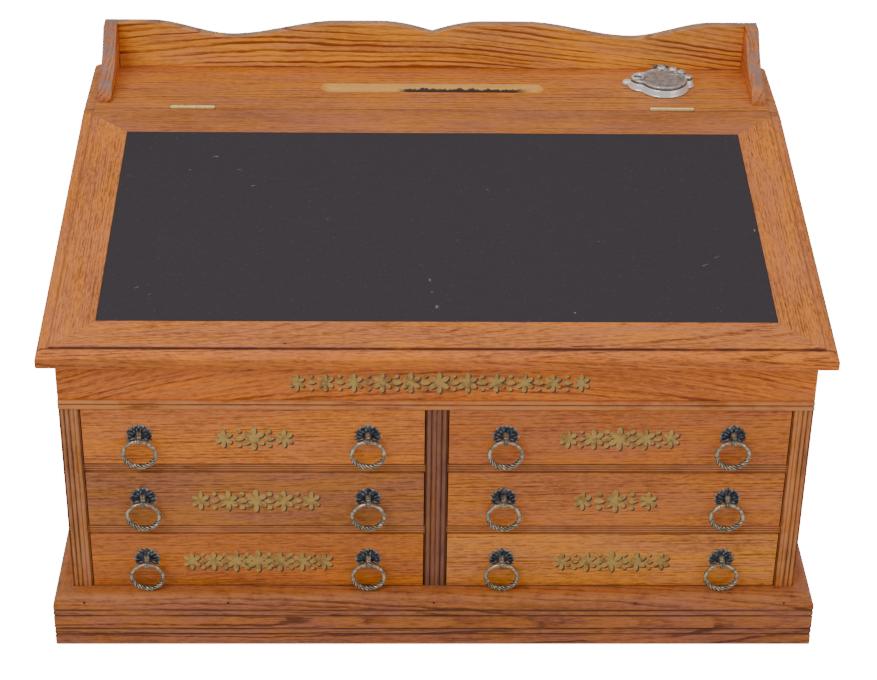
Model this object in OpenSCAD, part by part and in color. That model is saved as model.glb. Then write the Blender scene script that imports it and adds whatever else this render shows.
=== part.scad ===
// Desk-top spool cabinet: an oak case with six shallow drawers, a sloping lift-up writing lid,
// a fixed shelf with a pen groove and a sunk inkwell, and a scalloped gallery.
// Millimetres, +Z up, +Y to the back. The origin is under the middle of the footprint.

/* [Case] */
// Width of the case over its corner stiles
body_w = 803; // [700:1:900]
// Depth of the case from the stile faces to the back
body_d = 576; // [520:1:640]
// Thickness of the side frames and of the front boards
side_t = 22; // [18:1:28]
// Width of the side frames' upright members, seen from the side
post_d = 60; // [44:1:80]
// Height of the side frames' upper rail
side_top_h = 48; // [35:1:60]
// Height of the side frames' lower rail above the plinth
side_rail_h = 42; // [25:1:60]
// Thickness of the side panels
panel_t = 9; // [7:0.5:11]
// Depth of the grooves that hold the side panels
groove_d = 6; // [4:0.5:9]
// Thickness of the back boards
back_t = 12.7; // [10:0.1:16]
// Number of back boards
back_boards_n = 3; // [2:1:4]
// Height of the back boards' lower edge above the floor
back_z = 20; // [10:1:40]
// Thickness of the bottom board
bottom_t = 14; // [10:1:20]
// Thickness of the board over the drawers, which is the desk's floor
floor_t = 12; // [10:0.5:16]
// Thickness of the partition between the drawer banks
partition_t = 20; // [14:1:22]

/* [Plinth] */
// Height of the plinth moulding
base_h = 66.2; // [58:0.1:80]
// How far the plinth stands out from the case
base_out = 21.5; // [18:0.5:28]
// Width of the flat ledge on top of the plinth
base_ledge = 9.5; // [7:0.5:12]
// Height of the rounding over the plinth's face
base_round_h = 14; // [8:0.5:18]
// Depth of the grooves in the plinth
base_groove = 1.4; // [0.8:0.1:2]
// Width of the beads between the plinth's grooves
base_bead_w = 7.6; // [6:0.1:10]
// Height of the lower bead's middle above the floor
base_bead_low = 18.5; // [12:0.5:22]
// Height of the upper bead's middle above the floor
base_bead_high = 44.2; // [32:0.1:44.2]

/* [Drawer front frame] */
// Height of each drawer opening
open_h = 71; // [58:1:85]
// Gap between the plinth's top and the lowest opening
open_rise = 0.3; // [0:0.1:2]
// Height of the rails between the drawers
rail_h = 11; // [11:0.5:20]
// Depth of the rails, front to back
rail_d = 22; // [16:1:40]
// How far the rails stand back from the stiles
rail_set = 1.5; // [0:0.5:4]
// Width of the centre stile
centre_w = 24; // [22:1:34]
// Depth of the reeding
reed_d = 1.5; // [0.8:0.1:2.2]
// Reeds on each stile
stile_reeds = 4; // [3:1:5]
// Reeds on the centre stile
centre_reeds = 4; // [2:1:5]
// Reeds on each rail
rail_reeds = 3; // [2:1:4]
// Height of the reeded strip over the drawers
bead_h = 12; // [9:0.5:16]
// How far that strip stands out
bead_out = 3; // [2:0.5:5]
// Width of the drawer runners
runner_w = 24; // [16:1:34]

/* [Drawers] */
// Gap at each side of a drawer front
drawer_side_gap = 1; // [0.5:0.1:2]
// Gap over and under a drawer
drawer_gap = 0.5; // [0.3:0.1:1]
// Thickness of the drawer fronts
front_t = 20; // [16:1:24]
// Thickness of the drawer sides and backs
box_t = 10; // [7:0.5:13]
// Depth of wood left in front of the dovetails
tail_lap = 6; // [4:0.5:9]
// Dovetails at each front corner of a drawer
tail_n = 3; // [2:1:4]
// Height of the drawer sides
box_side_h = 58; // [45:1:64]
// Height of the drawer backs
box_back_h = 46; // [34:1:56]
// Height of the drawer bottoms above the sides' lower edge
box_bottom_rise = 6; // [3:0.5:10]
// Depth of the grooves that hold the drawer bottoms
box_groove = 4; // [3:0.5:5]
// Thickness of the drawer bottoms
box_bottom_t = 5; // [3:0.5:7]
// Space behind a shut drawer
drawer_back_room = 14; // [8:1:30]

/* [Ring pulls] */
// Distance from a drawer's middle to each pull
pull_x = 122; // [90:1:140]
// Height of the pulls' pivots above the middle of a drawer
pull_rise = 0; // [0:0.1:4]
// Half the height of a ring, to the middle of its wire
ring_r = 16.2; // [14:0.05:16.3]
// How much wider a ring is to each side than that
ring_wide = 1.2; // [0:0.1:2]
// Radius of the wire at the top of a ring
wire_r = 1.9; // [1.5:0.1:2.1]
// Radius of the wire at the bottom of a ring
wire_big_r = 2.9; // [2.4:0.1:3.1]
// Depth of the rope twist in the lower half
twist_d = 0.6; // [0.2:0.05:0.8]
// Turns of the rope twist round a whole ring
twist_turns = 10; // [8:1:12]
// Distance from the drawer face to the ring's pivot
pivot_out = 9; // [8:0.5:12]
// Width of the lug that the ring hangs in
lug_w = 5; // [3:0.5:5]
// Thickness of the leaf plate
plate_t = 1.8; // [1.2:0.1:2.5]
// Length of the plate's leaves from the middle of the fan
leaf_r = 15.5; // [13:0.5:17]
// Number of leaves
leaf_n = 11; // [9:2:13]
// Height of the middle of the fan above the pivot
fan_rise = 1.5; // [0:0.5:4]

/* [Lid] */
// Slope of the lid
slope = 6.6; // [4:0.1:9]
// Width of the lid and of the shelf
lid_w = 836; // [740:1:930]
// Height of the lid's front lower edge
lid_z = 363.6; // [350:0.1:390]
// How far the lid stands out in front of the case
lid_over = 21.5; // [10:0.5:24]
// Thickness of the lid
lid_t = 19.5; // [16:0.5:22]
// Width of the lid frame's front member
lid_front_w = 58.7; // [40:0.1:65]
// Width of the lid frame's side members
lid_side_w = 57.6; // [45:0.1:75]
// Width of the lid frame's back member
lid_back_w = 48.9; // [40:0.1:65]
// Thickness of the board inside the lid frame
lid_panel_t = 11; // [8:0.5:13]
// Thickness of the writing cloth
cloth_t = 1.4; // [1:0.1:2]
// How far the cloth lies below the frame
cloth_sink = 0.4; // [0.2:0.1:1]
// Gap between the shut lid and the case
lid_gap = 0.3; // [0.2:0.1:0.6]
// Width of the edge moulding on the lid and shelf
edge_run = 14; // [10:0.5:18]
// Depth of the step at the top of the edge moulding
edge_quirk = 1.6; // [1:0.1:2.5]
// Height of the edge moulding's nose
edge_nose = 4.5; // [3.5:0.5:7]

/* [Shelf and gallery] */
// Depth of the shelf
shelf_d = 129.5; // [115:0.5:150]
// Thickness of the shelf
shelf_t = 19; // [16:0.5:22]
// Height of the gallery's ends and crests
gallery_h = 58.5; // [50:0.5:75]
// Depth of the gallery's two hollows
gallery_dip = 18; // [10:1:24]
// Depth of the notch in the middle
gallery_notch = 12.5; // [8:0.5:18]
// Thickness of the gallery's back board
gallery_t = 12.7; // [10:0.1:16]
// Thickness of the gallery's end brackets
bracket_t = 16.5; // [13:0.5:20]
// Distance over the gallery's end brackets
bracket_span = 803; // [700:1:805]
// Depth of the end brackets, front to back
bracket_d = 114; // [100:1:114]
// Length of the pen groove
pen_l = 274; // [200:1:320]
// Width of the pen groove
pen_w = 26; // [18:1:28]
// Depth of the pen groove
pen_depth = 7; // [5:0.5:9]
// Distance from the shelf's back edge to the middle of the pen groove
pen_back = 69; // [60:1:76]

/* [Hinges] */
// Length of the lid hinges
hinge_len = 50.8; // [38:0.1:64]
// Distance from each end of the lid to the middle of a hinge
hinge_end = 131; // [90:1:200]
// Radius of the knuckles
knuckle_r = 2.4; // [2:0.1:3]
// Radius of the pins
pin_r = 1.1; // [0.8:0.1:1.3]
// Thickness of the leaves
leaf_t = 1.2; // [0.8:0.1:1.5]
// Height of the leaves below the pin
hinge_leaf_h = 15; // [10:0.5:16]
// Height of the pin above the shelf
pin_rise = 1; // [0.5:0.1:1.5]
// Gap between the lid and the shelf
joint_gap = 1; // [0.8:0.1:1.5]

/* [Inkwell] */
// Distance from the shelf's right end to the middle of the inkwell
ink_end = 135; // [100:1:200]
// Distance from the shelf's back edge to the middle of the inkwell
ink_back = 65.5; // [62:0.5:70]
// Radius of the inkwell's round body
ink_r = 30; // [27:0.5:31]
// Height of the silver rim
rim_h = 9; // [6:0.5:10]
// Radius of the glass well
glass_r = 22; // [18:0.5:24]
// Depth of the glass well below the shelf's top
glass_depth = 25; // [15:1:32]
// Thickness of the glass
glass_t = 2.5; // [1.5:0.5:4]
// Thickness of the plate of the inkwell's cover
cover_t = 2; // [1.5:0.5:3]
// Height of the raised border on the cover
border_h = 1.6; // [1:0.1:2.5]
// Height of the buttons on the cover's lobes
button_h = 1.5; // [0.8:0.1:2.5]

/* [Hidden] */

oak = [0.66, 0.38, 0.17];
oak_dark = [0.5, 0.28, 0.13];
oak_gold = [0.76, 0.47, 0.22];
pale_wood = [0.8, 0.66, 0.46];
brass = [0.85, 0.7, 0.35];
silver = [0.75, 0.75, 0.74];
iron = [0.25, 0.26, 0.28];
nickel = [0.66, 0.62, 0.54];
black_cloth = [0.1, 0.1, 0.11];
clear_glass = [0.7, 0.8, 0.8, 0.5];

$fn = 48;
bite = 0.02;            // how far a cutter passes the face that it cuts
glue = 0.1;             // glue line or running gap between two boards
foot_z = 2;             // the case's own members end just above the floor

front_y = (base_out - body_d) / 2;
back_y = front_y + body_d;
half_w = body_w / 2;
inner_x = half_w - side_t;
frame_y = front_y + side_t;            // back of the front boards, front of the side frames
back_face = back_y - back_t;

// Drawer stack: rows are counted from the bottom
rows = 3;
open_z = base_h + open_rise;
row_pitch = open_h + rail_h;
stack_top = open_z + rows * row_pitch - rail_h;
frieze_z = stack_top + bead_h;
open_w = inner_x - centre_w / 2;
bank_x = (inner_x + centre_w / 2) / 2;
drawer_w = open_w - 2 * drawer_side_gap;
drawer_h = open_h - 2 * drawer_gap;
drawer_len = body_d - back_t - drawer_back_room;
// Drawers 1 to 3 are the left bank from the top down, 4 to 6 the right bank
function drawer_x(d) = d > rows ? bank_x : -bank_x;
function drawer_z(d) = open_z + drawer_gap + (rows - 1 - (d - 1) % rows) * row_pitch;

// The lid's own frame: x stays, s runs up the slope from the front lower edge, n is square to it
lid_y = front_y - lid_over;
joint_y = back_y - shelf_d;
lid_len = (joint_y - lid_y) / cos(slope);
lid_half = lid_w / 2;
function lid_under(y) = lid_z + (y - lid_y) * tan(slope);
shelf_top = lid_under(joint_y) + lid_t / cos(slope);
shelf_z = shelf_top - shelf_t;
hinge_x = lid_half - hinge_end;
hinge_y = joint_y + joint_gap / 2;
pin_z = shelf_top + pin_rise;

function arc(cx, cy, rx, ry, a0, a1, n) =
  [for (i = [0:n]) let (a = a0 + (a1 - a0) * i / n) [cx + rx * cos(a), cy + ry * sin(a)]];

// The face of a reeded strip w wide, from [0, 0] to [w, 0]; the hollows between reeds go down
reed_border = 1;
reed_steps = 6;
function reeded(w, n, depth) =
  let (pitch = (w - 2 * reed_border) / n)
  concat([[0, 0]],
    [for (i = [0:n - 1], k = [0:reed_steps])
      let (a = 180 * k / reed_steps)
      [reed_border + pitch * (i + 0.5) - (pitch / 2 - bite) * cos(a), depth * (sin(a) - 1)]],
    [[w, 0]]);

// Section of the moulded edge of the lid and shelf: x runs in from the edge, y up from below
nose_back = 3.5;
thumb_h = 5.5;
function edge_profile(t) = concat(
  arc(nose_back, edge_nose, nose_back, edge_nose, 270, 180, 4),
  arc(edge_run, t - edge_quirk - thumb_h, edge_run, thumb_h, 180, 90, 7),
  [[edge_run, t]]);
function mirrored(points, w) = [for (i = [len(points) - 1:-1:0]) [w - points[i][0], points[i][1]]];

// Section along X: its x goes to Y and its y to Z
module along_x(l) { rotate([90, 0, 90]) linear_extrude(l, center = true) children(); }
// Section along Y from y0 to y1: its x stays X and its y goes to Z
module along_y(y0, y1) { translate([0, y1, 0]) rotate([90, 0, 0]) linear_extrude(y1 - y0) children(); }
module block(x0, x1, y0, y1, z0, z1) { translate([x0, y0, z0]) cube([x1 - x0, y1 - y0, z1 - z0]); }
module rod_x(r, l) { rotate([0, 90, 0]) cylinder(r = r, h = l, center = true); }
module both_sides() {
  children();
  mirror([1, 0, 0]) children();
}

// Front frame
module reeded_post(x, w, z0, z1, n) {
  translate([x, front_y, z0]) linear_extrude(z1 - z0) difference() {
    square([w, side_t]);
    mirror([0, 1]) polygon(concat([[-bite, bite], [-bite, 0]], [for (p = reeded(w, n, reed_d)) p],
      [[w + bite, 0], [w + bite, bite]]));
  }
}
module side_stile() { reeded_post(inner_x, side_t, foot_z, stack_top, stile_reeds); }
module stile_right() { color(oak) side_stile(); }
module stile_left() { color(oak) mirror([1, 0, 0]) side_stile(); }
module stile_centre() {
  color(oak_dark) reeded_post(-centre_w / 2, centre_w, open_z, stack_top, centre_reeds);
}

module drawer_rails() {
  color(oak) both_sides() for (row = [1:rows - 1])
    translate([bank_x, front_y + rail_set, open_z + row * row_pitch - rail_h])
      along_x(open_w) difference() {
        square([rail_d - rail_set, rail_h]);
        polygon(concat([[-bite, -bite]], [for (p = reeded(rail_h, rail_reeds, reed_d)) [-p[1], p[0]]],
          [[-bite, rail_h + bite]]));
      }
}

// The two reeds of the strip over the drawers, the lower one taller
bead_split = 0.58;
module frieze_bead() {
  low = bead_h * bead_split;
  color(oak) translate([0, front_y, stack_top]) along_x(body_w)
    polygon(concat([[side_t, 0], [side_t, bead_h]],
      arc(0, (low + bead_h) / 2, bead_out, (bead_h - low) / 2, 90, 270, 8),
      arc(0, low / 2, bead_out, low / 2, 90, 270, 8)));
}

module frieze() {
  color(oak) along_x(body_w)
    polygon([[front_y, frieze_z], [frame_y, frieze_z],
      [frame_y, lid_under(frame_y) - lid_gap], [front_y, lid_under(front_y) - lid_gap]]);
}

// Side frames: two uprights and two rails round a panel in grooves
panel_y0 = front_y + post_d;
panel_y1 = back_y - post_d;
panel_z = base_h + side_rail_h;
module side_outline() {
  polygon([[frame_y, foot_z], [back_y, foot_z], [back_y, shelf_z], [joint_y, shelf_z],
    [joint_y, lid_under(joint_y) - lid_gap], [frame_y, lid_under(frame_y) - lid_gap]]);
}
module panel_outline(out) {
  polygon([[panel_y0 - out, panel_z - out], [panel_y1 + out, panel_z - out],
    [panel_y1 + out, lid_under(panel_y1) - side_top_h + out],
    [panel_y0 - out, lid_under(panel_y0) - side_top_h + out]]);
}
module side_slab(t) { translate([half_w - side_t / 2, 0, 0]) along_x(t) children(); }
module side_panel() { side_slab(panel_t) panel_outline(groove_d); }
module side_frame() {
  difference() {
    union() {
      side_slab(side_t) intersection() {
        side_outline();
        translate([frame_y, 0]) square([panel_y0 - frame_y, shelf_top]);
      }
      side_slab(side_t) intersection() {
        side_outline();
        translate([panel_y1, 0]) square([post_d, shelf_top]);
      }
    }
    side_panel();
    rabbet_back();
  }
  difference() {
    side_slab(side_t) translate([panel_y0 + glue, foot_z])
      square([panel_y1 - panel_y0 - 2 * glue, panel_z - foot_z]);
    side_panel();
  }
  difference() {
    side_slab(side_t) intersection() {
      side_outline();
      polygon([[panel_y0 + glue, lid_under(panel_y0 + glue) - side_top_h],
        [panel_y1 - glue, lid_under(panel_y1 - glue) - side_top_h],
        [panel_y1 - glue, shelf_top], [panel_y0 + glue, shelf_top]]);
    }
    side_panel();
  }
}
module side_frame_right() { color(oak) side_frame(); }
module side_frame_left() { color(oak) mirror([1, 0, 0]) side_frame(); }
module side_panel_right() { color(oak_gold) side_panel(); }
module side_panel_left() { color(oak_gold) mirror([1, 0, 0]) side_panel(); }

// Back boards lie in a rabbet of the side frames
rabbet_w = 10;
back_half = inner_x + rabbet_w;
module rabbet_back() { block(0, back_half, back_face, back_y + bite, back_z, shelf_z + bite); }
module back_boards() {
  board = (shelf_z - back_z) / back_boards_n;
  color(oak_dark) for (i = [0:back_boards_n - 1])
    block(-back_half, back_half, back_face, back_y, back_z + i * board + glue, back_z + (i + 1) * board);
}

// Inside
module bottom_board() {
  color(pale_wood) block(-inner_x, inner_x, front_y, back_face, open_z - bottom_t, open_z);
}
module desk_floor() {
  color(pale_wood) block(-inner_x, inner_x, frame_y, back_face, stack_top, stack_top + floor_t);
}
module centre_partition() {
  color(pale_wood) block(-partition_t / 2, partition_t / 2, frame_y, back_face, open_z, stack_top);
}
module drawer_runners() {
  color(pale_wood) both_sides() for (row = [1:rows - 1], x = [partition_t / 2, inner_x - runner_w])
    translate([x, front_y + rail_d, open_z + row * row_pitch - rail_h])
      cube([runner_w, body_d - back_t - rail_d, rail_h]);
}

// Plinth: one moulding, mitred at the front corners
module plinth_section() {
  difference() {
    polygon(concat([[0, 0], [base_out, 0]],
      arc(base_ledge, base_h - base_round_h, base_out - base_ledge, base_round_h, 0, 90, 8),
      [[0, base_h]]));
    for (z = [base_bead_low, base_bead_high], side = [-1, 1])
      translate([base_out, z + side * base_bead_w / 2]) rotate(45)
        square(base_groove * sqrt(2), center = true);
  }
}
module mitre(front) {
  reach = half_w + base_out;
  linear_extrude(base_h) polygon(front
    ? [[half_w, front_y], [reach, front_y - base_out], [-reach, front_y - base_out], [-half_w, front_y]]
    : [[half_w, front_y], [reach, front_y - base_out], [reach, back_y], [half_w, back_y]]);
}
module plinth_front() {
  color(oak_dark) intersection() {
    translate([0, front_y, 0]) mirror([0, 1, 0]) along_x(body_w + 2 * base_out) plinth_section();
    mitre(true);
  }
}
module plinth_sides() {
  color(oak_dark) both_sides() intersection() {
    translate([half_w, 0, 0]) along_y(front_y - base_out, back_y) plinth_section();
    mitre(false);
  }
}

// Lid
module lid_place() { translate([0, lid_y, lid_z]) rotate([slope, 0, 0]) children(); }
module lid_slab() {
  intersection() {
    along_x(lid_w) polygon(concat(edge_profile(lid_t),
      [[lid_len + lid_t * tan(slope), lid_t], [lid_len, 0]]));
    translate([-lid_half, 0, 0]) along_y(0, lid_len + lid_t)
      polygon(concat(edge_profile(lid_t), mirrored(edge_profile(lid_t), lid_w)));
  }
}
lid_in_x = lid_half - lid_side_w;
lid_in_s = lid_len - lid_back_w;
tongue_t = 5;
tongue_z = 8.5;
module lid_tongue() {
  block(-lid_in_x - groove_d, lid_in_x + groove_d, lid_front_w - groove_d, lid_in_s + groove_d,
    tongue_z, tongue_z + tongue_t);
}
cloth_n = lid_t - cloth_sink - cloth_t;
// One member of the lid frame: the slab inside an outline seen from above, grooved for the board
module lid_member() {
  lid_place() difference() {
    intersection() {
      lid_slab();
      linear_extrude(lid_t) children();
    }
    lid_tongue();
  }
}
module lid_rail_front() {
  color(oak_gold) lid_member()
    polygon([[-lid_half, 0], [lid_half, 0], [lid_in_x, lid_front_w], [-lid_in_x, lid_front_w]]);
}
module lid_rails_side() {
  far = lid_len + lid_t;
  slant = lid_side_w * (lid_t / lid_back_w + 1);
  color(oak_gold) both_sides() lid_member()
    polygon([[lid_half, 0], [lid_in_x, lid_front_w], [lid_in_x, lid_in_s],
      [lid_in_x + slant, far], [lid_half + slant, far]]);
}
module lid_rail_back() {
  far = lid_len + lid_t;
  slant = lid_side_w * (lid_t / lid_back_w + 1);
  color(oak_gold) difference() {
    lid_member() polygon([[-lid_in_x, lid_in_s], [lid_in_x, lid_in_s],
      [lid_in_x + slant, far], [-lid_in_x - slant, far]]);
    hinge_places() hinge_mortise(-1);
  }
}
module lid_panel() {
  color(oak_dark) lid_place() union() {
    lid_tongue();
    block(-lid_in_x, lid_in_x, lid_front_w, lid_in_s, cloth_n - lid_panel_t, cloth_n);
  }
}
module writing_cloth() {
  color(black_cloth) lid_place()
    block(-lid_in_x, lid_in_x, lid_front_w, lid_in_s, cloth_n, cloth_n + cloth_t);
}

// Butt hinges: five knuckles, three of them on the shelf
knuckles = 5;
knuckle_gap = 0.3;
knuckle_l = (hinge_len - (knuckles - 1) * knuckle_gap) / knuckles;
leaf_gap = 0.4;
pin_fit = 0.06;
knuckle_room = 0.35;
pin_head_t = 1;
module hinge_places() {
  for (x = [-hinge_x, hinge_x]) translate([x, hinge_y, pin_z]) children();
}
// Turns a shape behind the pin into one in front of it
module to_side(side) { mirror([0, side < 0 ? 1 : 0, 0]) children(); }
module leaf_slab(l, top, t) {
  translate([-l / 2, leaf_gap / 2, -hinge_leaf_h]) cube([l, t, hinge_leaf_h + top]);
}
module hinge_mortise(side) {
  rod_x(knuckle_r + knuckle_room, hinge_len + 2 * (pin_head_t + knuckle_room));
  to_side(side) translate([-hinge_len / 2, -joint_gap, -hinge_leaf_h])
    cube([hinge_len, joint_gap + leaf_gap / 2 + leaf_t, hinge_leaf_h + pin_rise + 1]);
}
module hinge_leaf(side, first) {
  difference() {
    union() {
      to_side(side) leaf_slab(hinge_len, -knuckle_r - knuckle_room, leaf_t);
      for (i = [first:2:knuckles - 1])
        translate([-hinge_len / 2 + knuckle_l / 2 + i * (knuckle_l + knuckle_gap), 0, 0]) {
          rod_x(knuckle_r, knuckle_l);
          to_side(side) leaf_slab(knuckle_l, 0, leaf_t);
        }
    }
    rod_x(pin_r + pin_fit, hinge_len + 2 * bite);
  }
}
module hinge_pin() {
  rod_x(pin_r, hinge_len + pin_head_t);
  for (side = [-1, 1]) translate([side * ((hinge_len + pin_head_t) / 2 + pin_fit), 0, 0])
    rod_x(knuckle_r - knuckle_gap, pin_head_t);
}
module hinge_fixed_leaves() {
  color(brass) hinge_places() {
    hinge_leaf(1, 0);
    hinge_pin();
  }
}
module hinge_lid_leaves() { color(brass) hinge_places() hinge_leaf(-1, 1); }

// Shelf with its pen groove and the hole for the inkwell
ink_x = lid_half - ink_end;
ink_y = back_y - ink_back;
well_room = 0.3;
module shelf() {
  groove_r = (pow(pen_w / 2, 2) + pow(pen_depth, 2)) / (2 * pen_depth);
  groove_half = pen_l / 2 - pen_w / 2;
  color(oak_dark) difference() {
    translate([-lid_half, 0, shelf_z]) along_y(joint_y + joint_gap, back_y)
      polygon(concat(edge_profile(shelf_t), mirrored(edge_profile(shelf_t), lid_w)));
    translate([0, back_y - pen_back, shelf_top + groove_r - pen_depth]) {
      rod_x(groove_r, 2 * groove_half);
      for (x = [-groove_half, groove_half]) translate([x, 0, 0]) sphere(r = groove_r);
    }
    translate([ink_x, ink_y, shelf_z - bite]) cylinder(r = glass_r + well_room, h = shelf_t + 2 * bite);
    hinge_places() hinge_mortise(1);
  }
}

// Gallery: the back board's top edge is two long hollows, a crest each side of a pointed notch
gallery_half = bracket_span / 2 - bracket_t;
dip_x = 246;
crest_x = 115;
notch_w = 60;
end_flat = 40;
function smooth(t) = t * t * (3 - 2 * t);
// Height of the top edge, from the middle out: notch, crest, hollow, end
function gallery_top(x) =
  x < notch_w ? gallery_h - gallery_notch * pow(1 - x / notch_w, 1.7)
  : x < crest_x ? gallery_h
  : x < dip_x ? gallery_h - gallery_dip * smooth((x - crest_x) / (dip_x - crest_x))
  : gallery_h - gallery_dip * (1 - smooth(min(1, (x - dip_x) / (gallery_half - end_flat - dip_x))));
gallery_steps = 44;
module gallery_back() {
  half = [for (i = [0:gallery_steps]) let (x = gallery_half * i / gallery_steps) [x, gallery_top(x)]];
  color(oak_gold) translate([0, 0, shelf_top]) along_y(back_y - gallery_t, back_y)
    polygon(concat([[-gallery_half, 0], [gallery_half, 0]],
      [for (i = [gallery_steps:-1:0]) half[i]], [for (i = [1:gallery_steps]) [-half[i][0], half[i][1]]]));
}
// End bracket seen from the side: a straight top, a hollow and a rounded toe
toe_h = 19;
toe_run = 22;
bracket_top = 24;
module gallery_brackets() {
  run = bracket_d - bracket_top - toe_run;
  color(oak_gold) both_sides() translate([bracket_span / 2 - bracket_t / 2, back_y, shelf_top])
    along_x(bracket_t) mirror([1, 0]) polygon(concat(
      [[0, 0], [0, gallery_h], [bracket_top, gallery_h]],
      [for (i = [1:10]) let (t = i / 10)
        [bracket_top + run * t, toe_h + (gallery_h - toe_h) * pow(1 - t, 1.9)]],
      arc(bracket_d - toe_run, 0, toe_run, toe_h, 80, 0, 7)));
}

// Inkwell: a cast rim on the shelf, a glass well in the hole and a hinged cover. Seen from above it is
// a disc with a volute on the left, four lobes round the back and right, and a tail behind the volute.
volute_at = [-27, 3];
volute_r = 15;
curl_at = [-31.5, 4];
curl_r = 9.5;
curl_groove = 3;
curl_boss = 3.8;
tail_at = [-44, 9];
tail_r = 5.5;
tail_h = 5.5;
lobe_angles = [10, 40, 64, 90];
lobe_ring = 30.5;
lobe_r = 7;
foot_out = 1;
foot_h = 2.5;
cover_in = 0.6;
border_w = 4.5;
barrel_r = 2.2;
barrel_l = 14;
cover_gap = 0.4;
cover_pin_r = 1;
ink_fit = 0.08;
barrel_y = lobe_ring + lobe_r + barrel_r + 1;
barrel_z = rim_h + cover_gap + cover_t / 2;
module ink_place() { translate([ink_x, ink_y, shelf_top]) children(); }
module lobes(r, grow) {
  for (a = lobe_angles) rotate(a) translate([lobe_ring, 0]) circle(r = r + grow);
}
module cartouche(grow) {
  circle(r = ink_r + grow);
  translate(volute_at) circle(r = volute_r + grow);
  lobes(lobe_r, grow);
}
module inkwell_base() {
  color(silver) ink_place() {
    difference() {
      union() {
        linear_extrude(foot_h) cartouche(foot_out);
        linear_extrude(rim_h) cartouche(0);
        translate(tail_at) cylinder(r = tail_r, h = tail_h);
        for (x = [-1, 1] * barrel_l / 2) translate([x, barrel_y, 0]) {
          translate([0, 0, barrel_z]) rod_x(barrel_r, barrel_l / 4);
          translate([-barrel_l / 8, -barrel_r, 0]) cube([barrel_l / 4, 2 * barrel_r, barrel_z]);
        }
        translate([-barrel_l / 2, 0, 0]) cube([barrel_l, barrel_y, foot_h]);
      }
      translate([0, 0, -bite]) cylinder(r = glass_r + ink_fit, h = rim_h + 2 * bite);
      translate([0, 0, rim_h - glass_t]) cylinder(r = glass_r + glass_t + ink_fit, h = glass_t + bite);
      translate([0, barrel_y, barrel_z]) rod_x(cover_pin_r + ink_fit, 2 * barrel_l);
    }
    translate([0, barrel_y, barrel_z]) rod_x(cover_pin_r, barrel_l * 1.25);
  }
}
module inkwell_glass() {
  color(clear_glass) ink_place() difference() {
    union() {
      translate([0, 0, -glass_depth]) cylinder(r = glass_r, h = glass_depth + rim_h);
      translate([0, 0, rim_h - glass_t]) cylinder(r = glass_r + glass_t, h = glass_t);
    }
    translate([0, 0, glass_t - glass_depth]) cylinder(r = glass_r - glass_t, h = glass_depth + rim_h);
  }
}
module button(r, h) {
  cap_r = (r * r + h * h) / (2 * h);
  intersection() {
    translate([0, 0, h - cap_r]) sphere(r = cap_r);
    cylinder(r = 2 * r, h = 2 * h);
  }
}
module inkwell_cover() {
  top = cover_t + border_h;
  color(silver) ink_place() translate([0, 0, rim_h + cover_gap]) difference() {
    union() {
      linear_extrude(top) cartouche(-cover_in);
      for (a = lobe_angles) rotate(a) translate([lobe_ring, 0, top - bite])
        button(lobe_r - 2 * cover_in, button_h);
      translate(curl_at) cylinder(r = curl_r, h = top + button_h / 2);
      translate([0, barrel_y, cover_t / 2]) rod_x(barrel_r, barrel_l / 2);
      translate([-barrel_l / 4, 0, 0]) cube([barrel_l / 2, barrel_y, cover_t]);
    }
    translate([0, 0, cover_t]) linear_extrude(border_h + button_h) {
      difference() {
        circle(r = ink_r - border_w);
        lobes(lobe_r, -cover_in);
        translate(curl_at) circle(r = curl_r);
      }
      translate(curl_at) difference() {
        circle(r = curl_r - curl_groove);
        circle(r = curl_boss);
      }
    }
    translate([0, barrel_y, cover_t / 2]) rod_x(cover_pin_r + ink_fit, 2 * barrel_l);
  }
}

// Drawers, drawn with the front's lower left corner at the origin and the box behind it
module at_drawer(d) { translate([drawer_x(d) - drawer_w / 2, front_y, drawer_z(d)]) children(); }
box_bottom_z = box_bottom_rise + box_bottom_t;
tail_root = 6.5;
tail_tip = 8.5;
// The tails on the end of one drawer side, seen from outside
module tails() {
  pitch = box_side_h / tail_n;
  for (i = [0:tail_n - 1]) translate([0, pitch * (i + 0.5)]) polygon([[front_t, -tail_root],
    [tail_lap, -tail_tip], [tail_lap, tail_tip], [front_t, tail_root]]);
}
module both_ends() {
  children();
  translate([drawer_w, 0, 0]) mirror([1, 0, 0]) children();
}
module drawer_bottom(room = 0) {
  block(box_t - box_groove - room, drawer_w - box_t + box_groove + room,
    front_t - box_groove - room, drawer_len + room, box_bottom_rise - room, box_bottom_z + room);
}
module drawer_front() {
  color(oak_gold) difference() {
    cube([drawer_w, front_t, drawer_h]);
    both_ends() translate([box_t / 2, 0, 0]) along_x(box_t + bite) tails();
    drawer_bottom();
  }
}
module drawer_box() {
  color(pale_wood) {
    both_ends() difference() {
      translate([box_t / 2, 0, 0]) along_x(box_t) union() {
        tails();
        translate([front_t, 0]) square([drawer_len - front_t, box_side_h]);
      }
      drawer_bottom(glue);
    }
    block(box_t + glue, drawer_w - box_t - glue, drawer_len - box_t, drawer_len,
      box_bottom_z + glue, box_bottom_z + box_back_h);
    drawer_bottom();
  }
}

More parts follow.
